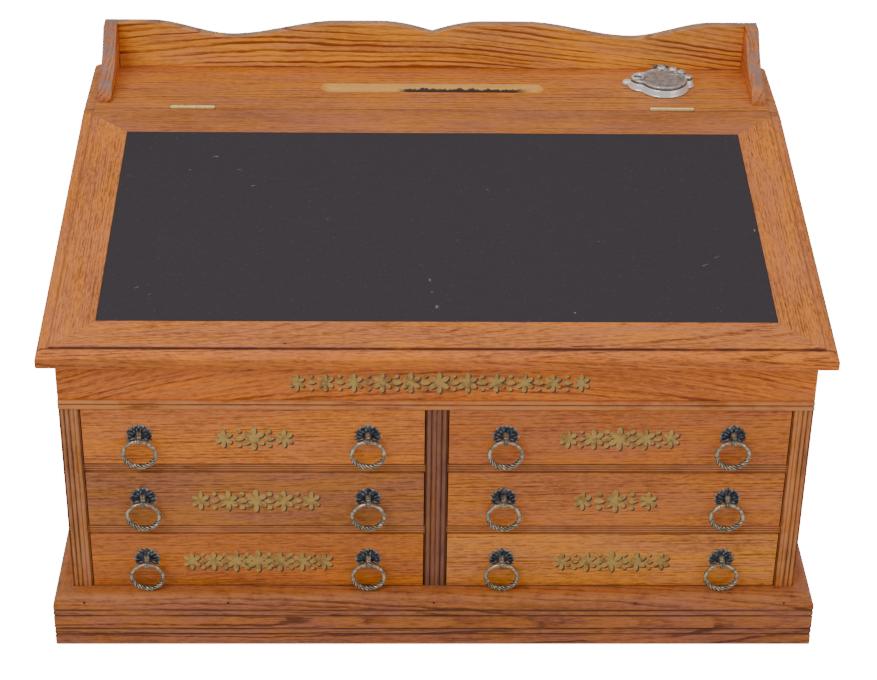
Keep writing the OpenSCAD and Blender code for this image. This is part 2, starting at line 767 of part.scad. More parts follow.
// Pulls: a fan of leaves on the drawer front, an eye that stands out of it and a ring in the eye
pull_z = drawer_h / 2 + pull_rise;
eye_r = 3.9;
eye_room = 0.45;
module pull_places() {
  for (x = [-pull_x, pull_x]) translate([drawer_w / 2 + x, 0, pull_z]) children();
}
fan_deg = 230;
fan_valley = 0.74;
leaf_rib_w = 1.3;
leaf_rib_h = 0.7;
boss_r = 5;
module fan_outline() {
  step = fan_deg / (leaf_n - 1);
  start = 90 - fan_deg / 2;
  polygon(concat([[0, -boss_r]], [for (i = [0:2 * (leaf_n - 1)])
    let (r = leaf_r * (i % 2 == 0 ? 1 : fan_valley), a = start + step * i / 2) [r * cos(a), r * sin(a)]]));
}
module leaf_plate() {
  step = fan_deg / (leaf_n - 1);
  translate([0, 0, fan_rise]) rotate([90, 0, 0]) {
    linear_extrude(plate_t - leaf_rib_h) fan_outline();
    linear_extrude(plate_t) for (i = [0:leaf_n - 1]) rotate(90 - fan_deg / 2 + step * i)
      polygon([[0, -leaf_rib_w / 2], [leaf_r * fan_valley, -leaf_rib_w], [leaf_r - 0.6, 0],
        [leaf_r * fan_valley, leaf_rib_w], [0, leaf_rib_w / 2]]);
    cylinder(r = boss_r, h = plate_t + 1);
  }
}
module pull_plates() {
  color(iron) pull_places() difference() {
    union() {
      leaf_plate();
      translate([0, -pivot_out, 0]) rod_x(eye_r, lug_w);
      translate([-lug_w / 2, -pivot_out, -eye_r / 2]) cube([lug_w, pivot_out, 1.5 * eye_r]);
    }
    translate([0, -pivot_out, 0]) rod_x(wire_r + eye_room, lug_w + 2 * bite);
  }
}
// A ring hangs from its topmost point. The wire is round at the top and a rope twist at the bottom.
ring_sides = 8;
ring_top_steps = 12;
ring_low_steps = 40;
// Angle round the ring from its top, with closer steps in the twisted lower part
low_start = 85;
ring_angles = concat(
  [for (i = [0:ring_top_steps - 1]) low_start * (2 * i / ring_top_steps - 1)],
  [for (i = [0:ring_low_steps - 1]) low_start + (360 - 2 * low_start) * i / ring_low_steps]);
function low_share(a) = smooth(max(0, min(1, (90 - abs(abs(a > 180 ? a - 360 : a) - 180) + 15) / 60)));
function wire_at(a) = wire_r + (wire_big_r - wire_r) * (1 - cos(a)) / 2;
function wire_point(a, k) =
  let (turn = 360 * k / ring_sides,
       r = wire_at(a) - low_share(a) * twist_d * (1 - cos(2 * turn + 2 * twist_turns * a)) / 2,
       out = r * cos(turn))
  [(ring_r + ring_wide + out) * sin(a), r * sin(turn), (ring_r + out) * cos(a) - ring_r];
module ring() {
  count = len(ring_angles);
  points = [for (a = ring_angles, k = [0:ring_sides - 1]) wire_point(a, k)];
  faces = [for (i = [0:count - 1], k = [0:ring_sides - 1], half = [0, 1])
    let (j = (i + 1) % count, m = (k + 1) % ring_sides,
         p = i * ring_sides + k, q = j * ring_sides + k, s = j * ring_sides + m, t = i * ring_sides + m)
    half == 0 ? [p, q, s] : [p, s, t]];
  color(nickel) translate([0, -pivot_out, 0]) polyhedron(points, faces);
}
module ring_left() { translate([drawer_w / 2 - pull_x, 0, pull_z]) ring(); }
module ring_right() { translate([drawer_w / 2 + pull_x, 0, pull_z]) ring(); }

stile_left();
stile_right();
stile_centre();
side_frame_left();
side_frame_right();
side_panel_left();
side_panel_right();
back_boards();
bottom_board();
desk_floor();
centre_partition();
drawer_rails();
drawer_runners();
frieze();
frieze_bead();
plinth_front();
plinth_sides();
shelf();
gallery_back();
gallery_brackets();
hinge_fixed_leaves();
hinge_lid_leaves();
inkwell_base();
inkwell_glass();
inkwell_cover();
lid_rail_front();
lid_rail_back();
lid_rails_side();
lid_panel();
writing_cloth();
at_drawer(1) drawer_front();  // drawer_1_front
at_drawer(1) drawer_box();  // drawer_1_box
at_drawer(1) pull_plates();  // drawer_1_plates
at_drawer(1) ring_left();  // drawer_1_ring_left
at_drawer(1) ring_right();  // drawer_1_ring_right
at_drawer(2) drawer_front();  // drawer_2_front
at_drawer(2) drawer_box();  // drawer_2_box
at_drawer(2) pull_plates();  // drawer_2_plates
at_drawer(2) ring_left();  // drawer_2_ring_left
at_drawer(2) ring_right();  // drawer_2_ring_right
at_drawer(3) drawer_front();  // drawer_3_front
at_drawer(3) drawer_box();  // drawer_3_box
at_drawer(3) pull_plates();  // drawer_3_plates
at_drawer(3) ring_left();  // drawer_3_ring_left
at_drawer(3) ring_right();  // drawer_3_ring_right
at_drawer(4) drawer_front();  // drawer_4_front
at_drawer(4) drawer_box();  // drawer_4_box
at_drawer(4) pull_plates();  // drawer_4_plates
at_drawer(4) ring_left();  // drawer_4_ring_left
at_drawer(4) ring_right();  // drawer_4_ring_right
at_drawer(5) drawer_front();  // drawer_5_front
at_drawer(5) drawer_box();  // drawer_5_box
at_drawer(5) pull_plates();  // drawer_5_plates
at_drawer(5) ring_left();  // drawer_5_ring_left
at_drawer(5) ring_right();  // drawer_5_ring_right
at_drawer(6) drawer_front();  // drawer_6_front
at_drawer(6) drawer_box();  // drawer_6_box
at_drawer(6) pull_plates();  // drawer_6_plates
at_drawer(6) ring_left();  // drawer_6_ring_left
at_drawer(6) ring_right();  // drawer_6_ring_right
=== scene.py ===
# %% [markdown]
# # A desk-top spool cabinet in oak
# This lesson dresses a small oak cabinet: six shallow drawers under a sloping writing lid.
# The joiner's work, every board and every joint, comes ready from the CAD model.
# What is left for Blender is what a photographer would see: rounded and worn edges, grain,
# varnish, cast metal and light.

# %% Load the frame
import math
import random
import bmesh
import bpy
import numpy as np
from mathutils import Matrix, Vector
from mathutils.kdtree import KDTree


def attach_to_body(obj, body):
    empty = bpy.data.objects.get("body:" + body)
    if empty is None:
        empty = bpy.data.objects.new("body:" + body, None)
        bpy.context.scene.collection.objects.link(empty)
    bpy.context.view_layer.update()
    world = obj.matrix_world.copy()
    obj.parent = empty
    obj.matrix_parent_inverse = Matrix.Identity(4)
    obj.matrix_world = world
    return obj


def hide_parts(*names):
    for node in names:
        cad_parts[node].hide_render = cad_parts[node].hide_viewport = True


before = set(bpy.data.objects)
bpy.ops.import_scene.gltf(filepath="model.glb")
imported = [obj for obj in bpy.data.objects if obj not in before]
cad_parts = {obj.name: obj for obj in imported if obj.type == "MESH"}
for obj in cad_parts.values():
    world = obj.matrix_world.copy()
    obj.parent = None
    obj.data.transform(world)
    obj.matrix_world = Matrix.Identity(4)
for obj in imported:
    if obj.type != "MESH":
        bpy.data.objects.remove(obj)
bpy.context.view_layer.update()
MM = 0.001

# %% [markdown]
# ## Camera
# A product photograph is taken from a few steps back with a long lens, so that the sides stay
# nearly parallel. The camera stands in front, a little left, and looks down on the lid.
# Its axes are worked out from three angles, which is easier to adjust than a track-to constraint.

# %% Camera
IMAGE_W = 877
FOCAL_PX = 2278.1
SENSOR = 36.0
CAMERA_AT = Vector((-50.6, -2296.45, 1634.6)) * MM
YAW, PITCH, ROLL = math.radians(1.436), math.radians(31.671), math.radians(0.919)


def camera_axes(yaw, pitch, roll):
    """Right, up and forward of a camera that looks along +Y before it turns."""
    forward = Vector((math.sin(yaw) * math.cos(pitch), math.cos(yaw) * math.cos(pitch), -math.sin(pitch)))
    level = Vector((math.cos(yaw), -math.sin(yaw), 0))
    upward = level.cross(forward)
    right = level * math.cos(roll) + upward * math.sin(roll)
    return right, upward * math.cos(roll) - level * math.sin(roll), forward


def placed(name, data):
    """A new object in the scene."""
    thing = bpy.data.objects.new(name, data)
    bpy.context.scene.collection.objects.link(thing)
    return thing


camera_data = bpy.data.cameras.new("camera")
camera_data.sensor_width = SENSOR
camera_data.lens = FOCAL_PX / IMAGE_W * SENSOR
camera = placed("camera", camera_data)
right, up, forward = camera_axes(YAW, PITCH, ROLL)
camera.matrix_world = Matrix.Translation(CAMERA_AT) @ Matrix((right, up, -forward)).transposed().to_4x4()
bpy.context.scene.camera = camera
print("lens:", round(camera_data.lens, 1), "mm")

# %% [markdown]
# ## Light
# A product table is lit with large soft boxes, so shadows are faint and polished metal still has
# something bright to mirror. One box hangs in front of the camera's left shoulder, one is on the
# right, and a long one is overhead. The world is a pale grey that fills the shadows.

# %% Soft boxes and world
SOFT_BOXES = {  # place, aim, width, height in metres, and watts
    "key_box": ((-1.7, -2.2, 2.4), (0, -0.1, 0.25), 1.9, 1.6, 44),
    "fill_box": ((2.3, -2.0, 1.3), (0, 0, 0.2), 1.8, 1.6, 12),
    "top_box": ((0.1, 0.5, 2.5), (0, 0.05, 0.35), 2.2, 1.3, 15),
}
for name, (at, aim, wide, tall, power) in SOFT_BOXES.items():
    light = bpy.data.lights.new(name, "AREA")
    light.shape = "RECTANGLE"
    light.size, light.size_y = wide, tall
    light.energy = power
    turn = (Vector(aim) - Vector(at)).to_track_quat("-Z", "Y")
    placed(name, light).matrix_world = Matrix.Translation(at) @ turn.to_matrix().to_4x4()

world = bpy.data.worlds.new("studio")
world.use_nodes = True
sky = world.node_tree.nodes["Background"].inputs
sky["Color"].default_value = (1.0, 0.99, 0.98, 1)
sky["Strength"].default_value = 0.42
bpy.context.scene.world = world
print("soft boxes:", len(SOFT_BOXES))

# %% [markdown]
# ## Small helpers for materials
# A material is a graph of nodes, and most of it is sums on colours and masks. So a node's output
# is wrapped in a small class whose signs add the nodes: a * b + c reads as it would on paper, and
# makes a Multiply and an Add. The other helpers each add one kind of node.

# %% Node helpers
FLOAT, COLOUR, VECTOR = "NodeSocketFloat", "NodeSocketColor", "NodeSocketVector"
WHITE = (1, 1, 1, 1)


class Value:
    """A node's output that can be used in sums with numbers, triples and other values."""

    def __init__(self, socket):
        self.socket, self.tree = socket, socket.id_data

    def __add__(self, other):
        return calc("ADD", self, other)

    def __sub__(self, other):
        return calc("SUBTRACT", self, other)

    def __rsub__(self, other):
        return calc("SUBTRACT", other, self)

    def __mul__(self, other):
        return calc("MULTIPLY", self, other)

    def __truediv__(self, other):
        return calc("DIVIDE", self, other)

    def clamped(self):
        """The same sum, held between 0 and 1."""
        self.socket.node.use_clamp = True
        return self


def feed(node, inputs):
    """Links or sets a node's inputs."""
    for key, value in inputs.items():
        if isinstance(value, Value):
            value.tree.links.new(value.socket, node.inputs[key])
        else:
            node.inputs[key].default_value = value
    return node


def add(tree, kind, inputs, **settings):
    """Adds a node, sets its properties and feeds its inputs."""
    node = tree.nodes.new(kind)
    for key, value in settings.items():
        setattr(node, key, value)
    return feed(node, inputs)


def get(tree, kind, inputs, output=0, **settings):
    """One output of a new node."""
    return Value(add(tree, kind, inputs, **settings).outputs[output])


def outputs(node):
    """All outputs of a node by name."""
    return {socket.name: Value(socket) for socket in node.outputs}


def calc(operation, *values):
    """A Math node, or a Vector Math node where the values are triples."""
    known = next(value for value in values if isinstance(value, Value))
    kind = "ShaderNodeVectorMath" if known.socket.type in ("VECTOR", "RGBA") else "ShaderNodeMath"
    return get(known.tree, kind, dict(enumerate(values)), operation=operation)


def split(vector):
    """The three numbers of a vector."""
    return [Value(socket) for socket in add(vector.tree, "ShaderNodeSeparateXYZ", {0: vector}).outputs]


def xyz(tree, **parts):
    """A vector from its numbers."""
    return get(tree, "ShaderNodeCombineXYZ", parts)


def here(tree):
    """The place on the object, in metres."""
    return get(tree, "ShaderNodeTexCoord", {}, "Object")


def mark(tree, name):
    """A number that each point of the piece carries."""
    return get(tree, "ShaderNodeAttribute", {}, "Fac", attribute_name=name)


def ramp(value, low, high, start=0.0, end=1.0):
    """Maps low..high to start..end with soft ends."""
    return get(value.tree, "ShaderNodeMapRange", {"Value": value, "From Min": low, "From Max": high,
               "To Min": start, "To Max": end}, interpolation_type="SMOOTHSTEP")


def blend(share, first, second, mode="MIX"):
    """Mixes two colours."""
    return get(share.tree, "ShaderNodeMix", {0: share, 6: first, 7: second}, 2, data_type="RGBA",
               blend_type=mode)


def noise(vector, scale=1.0, detail=2.0, rough=0.5, output="Fac"):
    """Noise on a vector, grey unless its Color is asked for."""
    return get(vector.tree, "ShaderNodeTexNoise", {"Vector": vector, "Scale": scale, "Detail": detail,
               "Roughness": rough}, output)


def start_tree(name, inputs, results, kind="ShaderNodeTree"):
    """A node group with named sockets. Returns the tree, its inputs and its output node."""
    tree = bpy.data.node_groups.new(name, kind)
    for label, (socket_type, *value) in inputs.items():
        socket = tree.interface.new_socket(label, in_out="INPUT", socket_type=socket_type)
        if value:
            socket.default_value = value[0]
    for label, socket_type in results.items():
        tree.interface.new_socket(label, in_out="OUTPUT", socket_type=socket_type)
    return tree, outputs(tree.nodes.new("NodeGroupInput")), tree.nodes.new("NodeGroupOutput")


def new_material(name):
    """A material, its tree and its shader."""
    material = bpy.data.materials.new(name)
    material.use_nodes = True
    return material, material.node_tree, material.node_tree.nodes["Principled BSDF"]


def bumped(shader, height, strength, distance):
    """Lets a height stand up from a shader's surface."""
    feed(shader, {"Normal": get(height.tree, "ShaderNodeBump", {"Height": height, "Strength": strength,
                                                               "Distance": distance})})

# %% [markdown]
# ## Oak
# Oak shows three things at once. Growth rings make long arches where a board is cut flat, and
# straight lines where it is cut on the quarter. Open pores in each ring's early wood are short
# dark dashes that hold stain. Between them the late wood is smooth and paler.
# The group below cuts a board out of a virtual log: its vector is the board's own frame, along
# the grain, across it and into the thickness, so that the rings agree on all faces of a board.

# %% Oak grain group
GOLDEN, ROSY = (1.07, 1.05, 0.62, 1), (0.93, 0.93, 1.32, 1)
MIDDLE = (0.5, 0.5, 0.5)


def oak_grain():
    tree, given, out = start_tree("oak_grain", {
        "Board": (VECTOR, (0, 0, 0)), "Ring Width": (FLOAT, 0.004), "Waver": (FLOAT, 0.01),
        "Pale": (COLOUR, WHITE), "Deep": (COLOUR, WHITE), "Pore": (COLOUR, WHITE),
        "Ring Depth": (FLOAT, 0.6), "Pore Depth": (FLOAT, 0.6), "Fleck": (FLOAT, 0.8), "Hue": (FLOAT, 1.0)},
        {"Color": COLOUR, "Height": FLOAT, "Gloss": FLOAT})
    board = given["Board"]
    # The log is not round: slow waves bend its rings, and fast ones make them ragged.
    slow = (noise(board * (2.2, 9, 9), detail=1.0, output="Color") - MIDDLE) * given["Waver"]
    fast = (noise(board * (26, 90, 90), output="Color") - MIDDLE) * (given["Ring Width"] * 0.75)
    y, z = split(board + (slow + fast) * (0, 1, 1))[1:]
    count = calc("SQRT", y * y + z * z) / given["Ring Width"]
    years = xyz(tree, X=count)
    ring = calc("FRACT", count + noise(years, 0.35, 1.0) * 1.8)
    # Early wood starts sharply in each ring and fades out. Some years and some places have more of it.
    early = ramp(ring, 0.0, 0.1) * ramp(ring, 0.12, 0.65, 1.0, 0.0)
    early = early * ramp(noise(years, 0.9, 1.0), 0.35, 0.65, 0.15, 1.25)
    early = early * ramp(noise(board * (7, 45, 45)), 0.35, 0.6, 0.35, 1.15)
    fibre = noise(board * (9, 620, 620), 1.0, 4.0, 0.65)
    pores = ramp(noise(board * (64, 780, 780), 1.0, 1.0), 0.5, 0.62) * (early * 0.8 + 0.18)
    fleck = noise(board * (105, 430, 430), 1.0, 3.0, 0.7)
    cloud = noise(board * (1.5, 6, 6), 3.5, 3.0)
    tone = early * given["Ring Depth"] + (fibre - 0.43) * 1.7 + (fleck - 0.5) * given["Fleck"]
    tone = (tone + (cloud - 0.46) * 1.1).clamped()
    wood = blend(tone, given["Pale"], given["Deep"])
    hue = ramp(noise(board * (9, 60, 60), 1.0, 3.0, 0.6), 0.38, 0.62)
    wood = blend(given["Hue"], wood, blend(hue, GOLDEN, ROSY), "MULTIPLY")
    wood = blend((pores * given["Pore Depth"]).clamped(), wood, given["Pore"])
    feed(out, {"Color": wood, "Height": fibre * 0.2 - pores * 0.8, "Gloss": tone * 0.5 + pores * 0.5})
    return tree


OAK_GRAIN = oak_grain()
print("grain nodes:", len(OAK_GRAIN.nodes))

# %% [markdown]
# ## Wear, painted highlight and painted shade
# Old varnish is worn thin where hands, sleeves and dusters touch it, and it keeps dirt where
# they don't. The paler worn edges are partly painted highlight, and the darkened grooves are
# partly dirt and partly painted shade. Faces that look up also take a colour of their own. Each
# wooden piece carries three attributes for that, "edge" on its rounded corners, "hollow" in its
# grooves and "upward" on its top faces, and this group breaks them up with noise so that no
# line is even.

# %% Wear group
def wear():
    tree, given, out = start_tree("wear", {
        "Color": (COLOUR, WHITE), "Rubbed": (COLOUR, (0.75, 0.35, 0.15, 1)),
        "Grime": (COLOUR, (0.055, 0.023, 0.018, 1)), "Edge Amount": (FLOAT, 0.6),
        "Hollow Amount": (FLOAT, 0.8), "Top": (COLOUR, WHITE), "Top Amount": (FLOAT, 0.0)},
        {"Color": COLOUR, "Grime": FLOAT})
    place = here(tree)
    # Paler worn edges are partly painted highlight; darkened grooves are partly dirt and partly painted
    # shade.
    rubbed_and_highlight = mark(tree, "edge") * ramp(noise(place, 34.0, 4.0, 0.65), 0.38, 0.62) * given["Edge Amount"]
    grime_and_shade = mark(tree, "hollow") * ramp(noise(place, 22.0, 3.0), 0.3, 0.6, 0.55, 1.0) * given["Hollow Amount"]
    faded = ramp(mark(tree, "upward"), 0.3, 0.8) * ramp(noise(place, 60.0, 4.0, 0.7), 0.3, 0.6)
    colour = blend(faded * given["Top Amount"], given["Color"], given["Top"])
    colour = blend(rubbed_and_highlight, colour, given["Rubbed"])
    feed(out, {"Color": blend(grime_and_shade, colour, given["Grime"]), "Grime": grime_and_shade})
    return tree


WEAR_AND_SHADING = wear()
print("wear nodes:", len(WEAR_AND_SHADING.nodes))

# %% [markdown]
# Each board takes the grain and the wear with values of its own, because boards of one cabinet
# never come from one tree: the frieze is the reddest, the centre stile is nearly brown, and the
# inside was never varnished. The tones are set against the boards of the real piece.

# %% Varnished oak in its tones
PALE, DEEP, PORE, RUBBED_AND_HIGHLIGHT = (1.36, 1.4, 1.5), (0.5, 0.42, 0.36), (0.36, 0.27, 0.24), (1.35, 1.6, 2.2)
GREY_TOP = (0.3, 0.19, 0.16)


def shade(colour, factors):
    """A colour made darker or paler, with its hue turned."""
    return tuple(min(1.0, c * f) for c, f in zip(colour, factors)) + (1.0,)


def oak(name, colour, ring_width=0.0035, waver=0.008, ring_depth=0.25, pore_depth=0.8, edge=0.6, hollow=0.9,
        rough=0.46, coat=0.1, fleck=1.0, deep=DEEP, hue=1.0, top=0.0, top_colour=GREY_TOP):
    """An oak material round its middle colour, the share of red, green and blue light that it returns."""
    material, tree, shader = new_material(name)
    board = get(tree, "ShaderNodeAttribute", {}, "Vector", attribute_name="grain")
    grain = outputs(add(tree, "ShaderNodeGroup", {
        "Board": board, "Ring Width": ring_width, "Waver": waver, "Pale": shade(colour, PALE),
        "Deep": shade(colour, deep), "Pore": shade(colour, PORE), "Ring Depth": ring_depth,
        "Pore Depth": pore_depth, "Fleck": fleck, "Hue": hue}, node_tree=OAK_GRAIN))
    worn = outputs(add(tree, "ShaderNodeGroup", {
        "Color": grain["Color"], "Edge Amount": edge, "Hollow Amount": hollow,
        "Rubbed": shade(colour, RUBBED_AND_HIGHLIGHT), "Top": top_colour + (1.0,), "Top Amount": top}, node_tree=WEAR_AND_SHADING))
    gloss = grain["Gloss"] * 0.2 + rough + worn["Grime"] * 0.2
    feed(shader, {"Base Color": worn["Color"], "Roughness": gloss.clamped(), "Specular IOR Level": 0.3,
                  "Coat Weight": coat, "Coat Roughness": 0.25})
    bumped(shader, grain["Height"], 0.3, 0.0003)
    return material


LID_OAK = oak("lid_oak", (0.62, 0.185, 0.034), 0.003, 0.006, 0.35, 1.0, hollow=1.0, fleck=2.5)
# The lid's back rail is given a darker, duller tone than the rest of the lid.
LID_BACK_OAK = oak("lid_back_oak", (0.47, 0.15, 0.037), 0.003, 0.006, 0.3, 0.9, fleck=1.6)
DRAWER_TONES = ((0.59, 0.17, 0.024), (0.38, 0.127, 0.032), (0.49, 0.138, 0.018), (0.48, 0.134, 0.024),
                (0.5, 0.15, 0.027), (0.59, 0.2, 0.034))
DRAWER_OAKS = [oak("drawer_oak_%d" % number, tone, 0.004, 0.008, 0.4, 0.85, hollow=1.0, fleck=2.4)
               for number, tone in enumerate(DRAWER_TONES, 1)]
CASE_OAK = oak("case_oak", (0.5, 0.163, 0.039), 0.0035, 0.01, edge=0.9, hollow=1.0, fleck=1.5)
WORN_OAK = oak("worn_oak", (0.42, 0.147, 0.043), 0.0035, 0.01, edge=0.9, hollow=1.0, fleck=1.5)
FRIEZE_OAK = oak("frieze_oak", (0.58, 0.154, 0.018), 0.0075, 0.012, 0.55, 0.85, hollow=0.0, fleck=2.3)
SHELF_OAK = oak("shelf_oak", (0.56, 0.185, 0.039), 0.006, 0.02, 0.4, 0.8, fleck=2.0)
GALLERY_OAK = oak("gallery_oak", (0.97, 0.3, 0.058), 0.0066, 0.055, 1.05, 0.7, hollow=0.0,
                  deep=(0.33, 0.23, 0.19), top=0.8)
BRACKET_OAK = oak("bracket_oak", (0.54, 0.165, 0.042), 0.005, 0.02, 0.6, 0.9, fleck=1.9, top=0.8)
PLINTH_OAK = oak("plinth_oak", (0.39, 0.123, 0.037), 0.0065, 0.035, 0.75, 0.9, fleck=1.7, hollow=1.0,
                 deep=(0.42, 0.33, 0.33), top=0.5, top_colour=(0.66, 0.24, 0.064))
DARK_OAK = oak("dark_oak", (0.225, 0.078, 0.029), 0.0035, 0.006, hollow=1.0)
RAW_WOOD = oak("raw_wood", (0.55, 0.35, 0.17), 0.006, 0.02, 0.3, 0.3, 0.2, 0.3, rough=0.7, coat=0.0, hue=0.25)
BACK_WOOD = oak("back_wood", (0.3, 0.14, 0.055), 0.006, 0.02, 0.5, 0.6, 0.5, 0.6, rough=0.7, coat=0.0,
                hue=0.35)
print("drawer tones:", len(DRAWER_OAKS))

# %% [markdown]
# ## Boards
# A board from the saw has knife edges, but a finished one has its arrises eased, and light catches
# on them. So each wooden node of the CAD model is copied, its doubled points are merged, its
# corners are bevelled, and then it gets the attributes that the materials read.
# A mesh may hold several loose boards. Each one gets its own place in the virtual log, so no two
# boards show the same figure.

# %% Boards from the CAD solids
NARROW, GROOVE_REACH = 1.4 * MM, 2.5 * MM
ROUNDED, HOLLOWED = (8, 28), (20, 60)  # degrees that a surface turns at a rounded corner and in a groove
MERGE, FLAT, ARRIS, SMOOTH = 0.004 * MM, math.radians(0.6), math.radians(38), math.radians(60)
# Where a board is cut from its log: how far aside, how deep, and how much the grain dives.
CUTS = {"flat": ((0.0, 0.03), (0.03, 0.06), 0.06), "quarter": ((0.14, 0.22), (0.0, 0.02), 0.02)}


def mesh_points(mesh):
    """A mesh's points as an array."""
    points = np.empty(len(mesh.vertices) * 3)
    mesh.vertices.foreach_get("co", points)
    return points.reshape(-1, 3)


def attach(mesh, label, values, domain="POINT"):
    """Gives each point or face of a mesh its own number."""
    mesh.attributes.new(label, "FLOAT", domain).data.foreach_set("value", values)


def loose_boards(mesh):
    """Numbers the loose parts of a mesh, one number for each point."""
    group = np.arange(len(mesh.vertices))
    ends = np.empty(len(mesh.edges) * 2, int)
    mesh.edges.foreach_get("vertices", ends)
    ends = ends.reshape(-1, 2)
    while True:
        lowest = np.minimum(group[ends[:, 0]], group[ends[:, 1]])
        before = group.copy()
        np.minimum.at(group, ends[:, 0], lowest)
        np.minimum.at(group, ends[:, 1], lowest)
        group = group[group]
        if (group == before).all():
            return np.unique(group, return_inverse=True)[1]


def write_grain(mesh, rng, cut, lean, slope, bow):
    """Gives each point its place in the board's own log: along, across and into the board."""
    aside, deep, dive = CUTS[cut]
    c, s = math.cos(math.radians(lean)), math.sin(math.radians(lean))
    points = mesh_points(mesh) @ np.array(Matrix.Rotation(slope, 3, "X"))
    board = loose_boards(mesh)
    grain = np.zeros_like(points)
    for number in range(board.max() + 1):
        mine = points[board == number]
        low, high = mine.min(0), mine.max(0)
        longest_first = np.argsort(low - high)
        along, across, into = (mine - (low + high) / 2)[:, longest_first].T
        along, across = along * c + across * s, across * c - along * s
        across = across + bow * along ** 2
        grain[board == number] = np.column_stack((
            along + rng.uniform(2, 9), across + rng.choice((-1, 1)) * rng.uniform(*aside),
            into + rng.uniform(*deep) + dive * along))
    mesh.attributes.new("grain", "FLOAT_VECTOR", "POINT").data.foreach_set("vector", grain.ravel())


def between(value, low, high):
    return min(1, max(0, (value - low) / (high - low)))


def write_wear_and_shade_marks(mesh):
    """Marks rounded corners, the bottoms of grooves and the faces that look up."""
    shape = bmesh.new()
    shape.from_mesh(mesh)
    shape.verts.ensure_lookup_table()
    narrow = {f: f.calc_area() / max(e.calc_length() for e in f.edges) < NARROW for f in shape.faces}
    edge, hollow = np.zeros(len(shape.verts)), np.zeros(len(shape.verts))
    for e in shape.edges:
        if len(e.link_faces) == 2:
            turn = math.degrees(e.calc_face_angle_signed(0))
            for v in e.verts:
                edge[v.index] = max(edge[v.index], between(turn, *ROUNDED))
                hollow[v.index] = max(hollow[v.index], between(-turn, *HOLLOWED))
    for v in shape.verts:
        if not all(narrow[f] for f in v.link_faces):
            edge[v.index] = 0
    deepest = hollow.copy()
    for e in shape.edges:
        if e.calc_length() < GROOVE_REACH:
            a, b = (v.index for v in e.verts)
            hollow[a], hollow[b] = max(hollow[a], 0.6 * deepest[b]), max(hollow[b], 0.6 * deepest[a])
    deep = [v for v in shape.verts if deepest[v.index] > 0.6]
    near = KDTree(len(deep))
    for v in deep:
        near.insert(v.co, v.index)
    near.balance()
    for v in shape.verts:
        if deep and all(narrow[f] for f in v.link_faces):
            hollow[v.index] = max(hollow[v.index], 0.9 * (1 - near.find(v.co)[2] / GROOVE_REACH))
    shape.free()
    attach(mesh, "upward", [max(0.0, face.normal.z) for face in mesh.polygons], "FACE")
    attach(mesh, "edge", edge * (1 - hollow))
    attach(mesh, "hollow", hollow)


def eased(node, name, material, ease, slices=1):
    """A copy of a CAD node with its arrises eased, as a plain mesh at the origin."""
    shape = bmesh.new()
    shape.from_mesh(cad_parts[node].data)
    bmesh.ops.remove_doubles(shape, verts=shape.verts, dist=MERGE)
    bmesh.ops.dissolve_limit(shape, angle_limit=FLAT, verts=shape.verts, edges=shape.edges)
    # An attribute runs straight between two points, so a grain that bows needs points on the way.
    places = [v.co.x for v in shape.verts]
    for x in np.linspace(min(places), max(places), slices + 1)[1:-1]:
        bmesh.ops.bisect_plane(shape, geom=[*shape.verts, *shape.edges, *shape.faces], plane_co=(x, 0, 0),
                               plane_no=(1, 0, 0))
    mesh = bpy.data.meshes.new(node + "_eased")
    shape.to_mesh(mesh)
    shape.free()
    source = placed(node + "_eased", mesh)
    bevel = source.modifiers.new("ease", "BEVEL")
    bevel.width, bevel.segments = ease * MM, 2
    bevel.limit_method, bevel.angle_limit = "ANGLE", ARRIS
    source.modifiers.new("flats", "WEIGHTED_NORMAL").keep_sharp = True
    for face in mesh.polygons:
        face.use_smooth = True
    mesh.set_sharp_from_angle(angle=SMOOTH)
    depsgraph = bpy.context.evaluated_depsgraph_get()
    mesh = bpy.data.meshes.new_from_object(source.evaluated_get(depsgraph), preserve_all_data_layers=True,
                                           depsgraph=depsgraph)
    bpy.data.objects.remove(source)
    mesh.name = name
    mesh.materials.clear()
    mesh.materials.append(material)
    return placed(name, mesh)


def board(node, body, material, ease=0.7, cut="flat", lean=0, slope=0, bow=0):
    """A CAD node's boards, eased and marked. The grain may lean, in degrees, or bow."""
    piece = eased(node, node + "_board", material, ease, slices=20 if bow else 1)
    write_grain(piece.data, random.Random(node), cut, lean, slope, bow)
    write_wear_and_shade_marks(piece.data)
    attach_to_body(piece, body)
    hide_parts(node)
    return piece

# %% [markdown]
# Now the case is dressed, board by board. Stiles, rails and fronts are cut on the quarter, as a
# maker picks straight grain for what shows, and panels and backs are cut flat. The frieze, the
# shelf and the gallery have grain that leans or bows, as their boards do on the real piece.

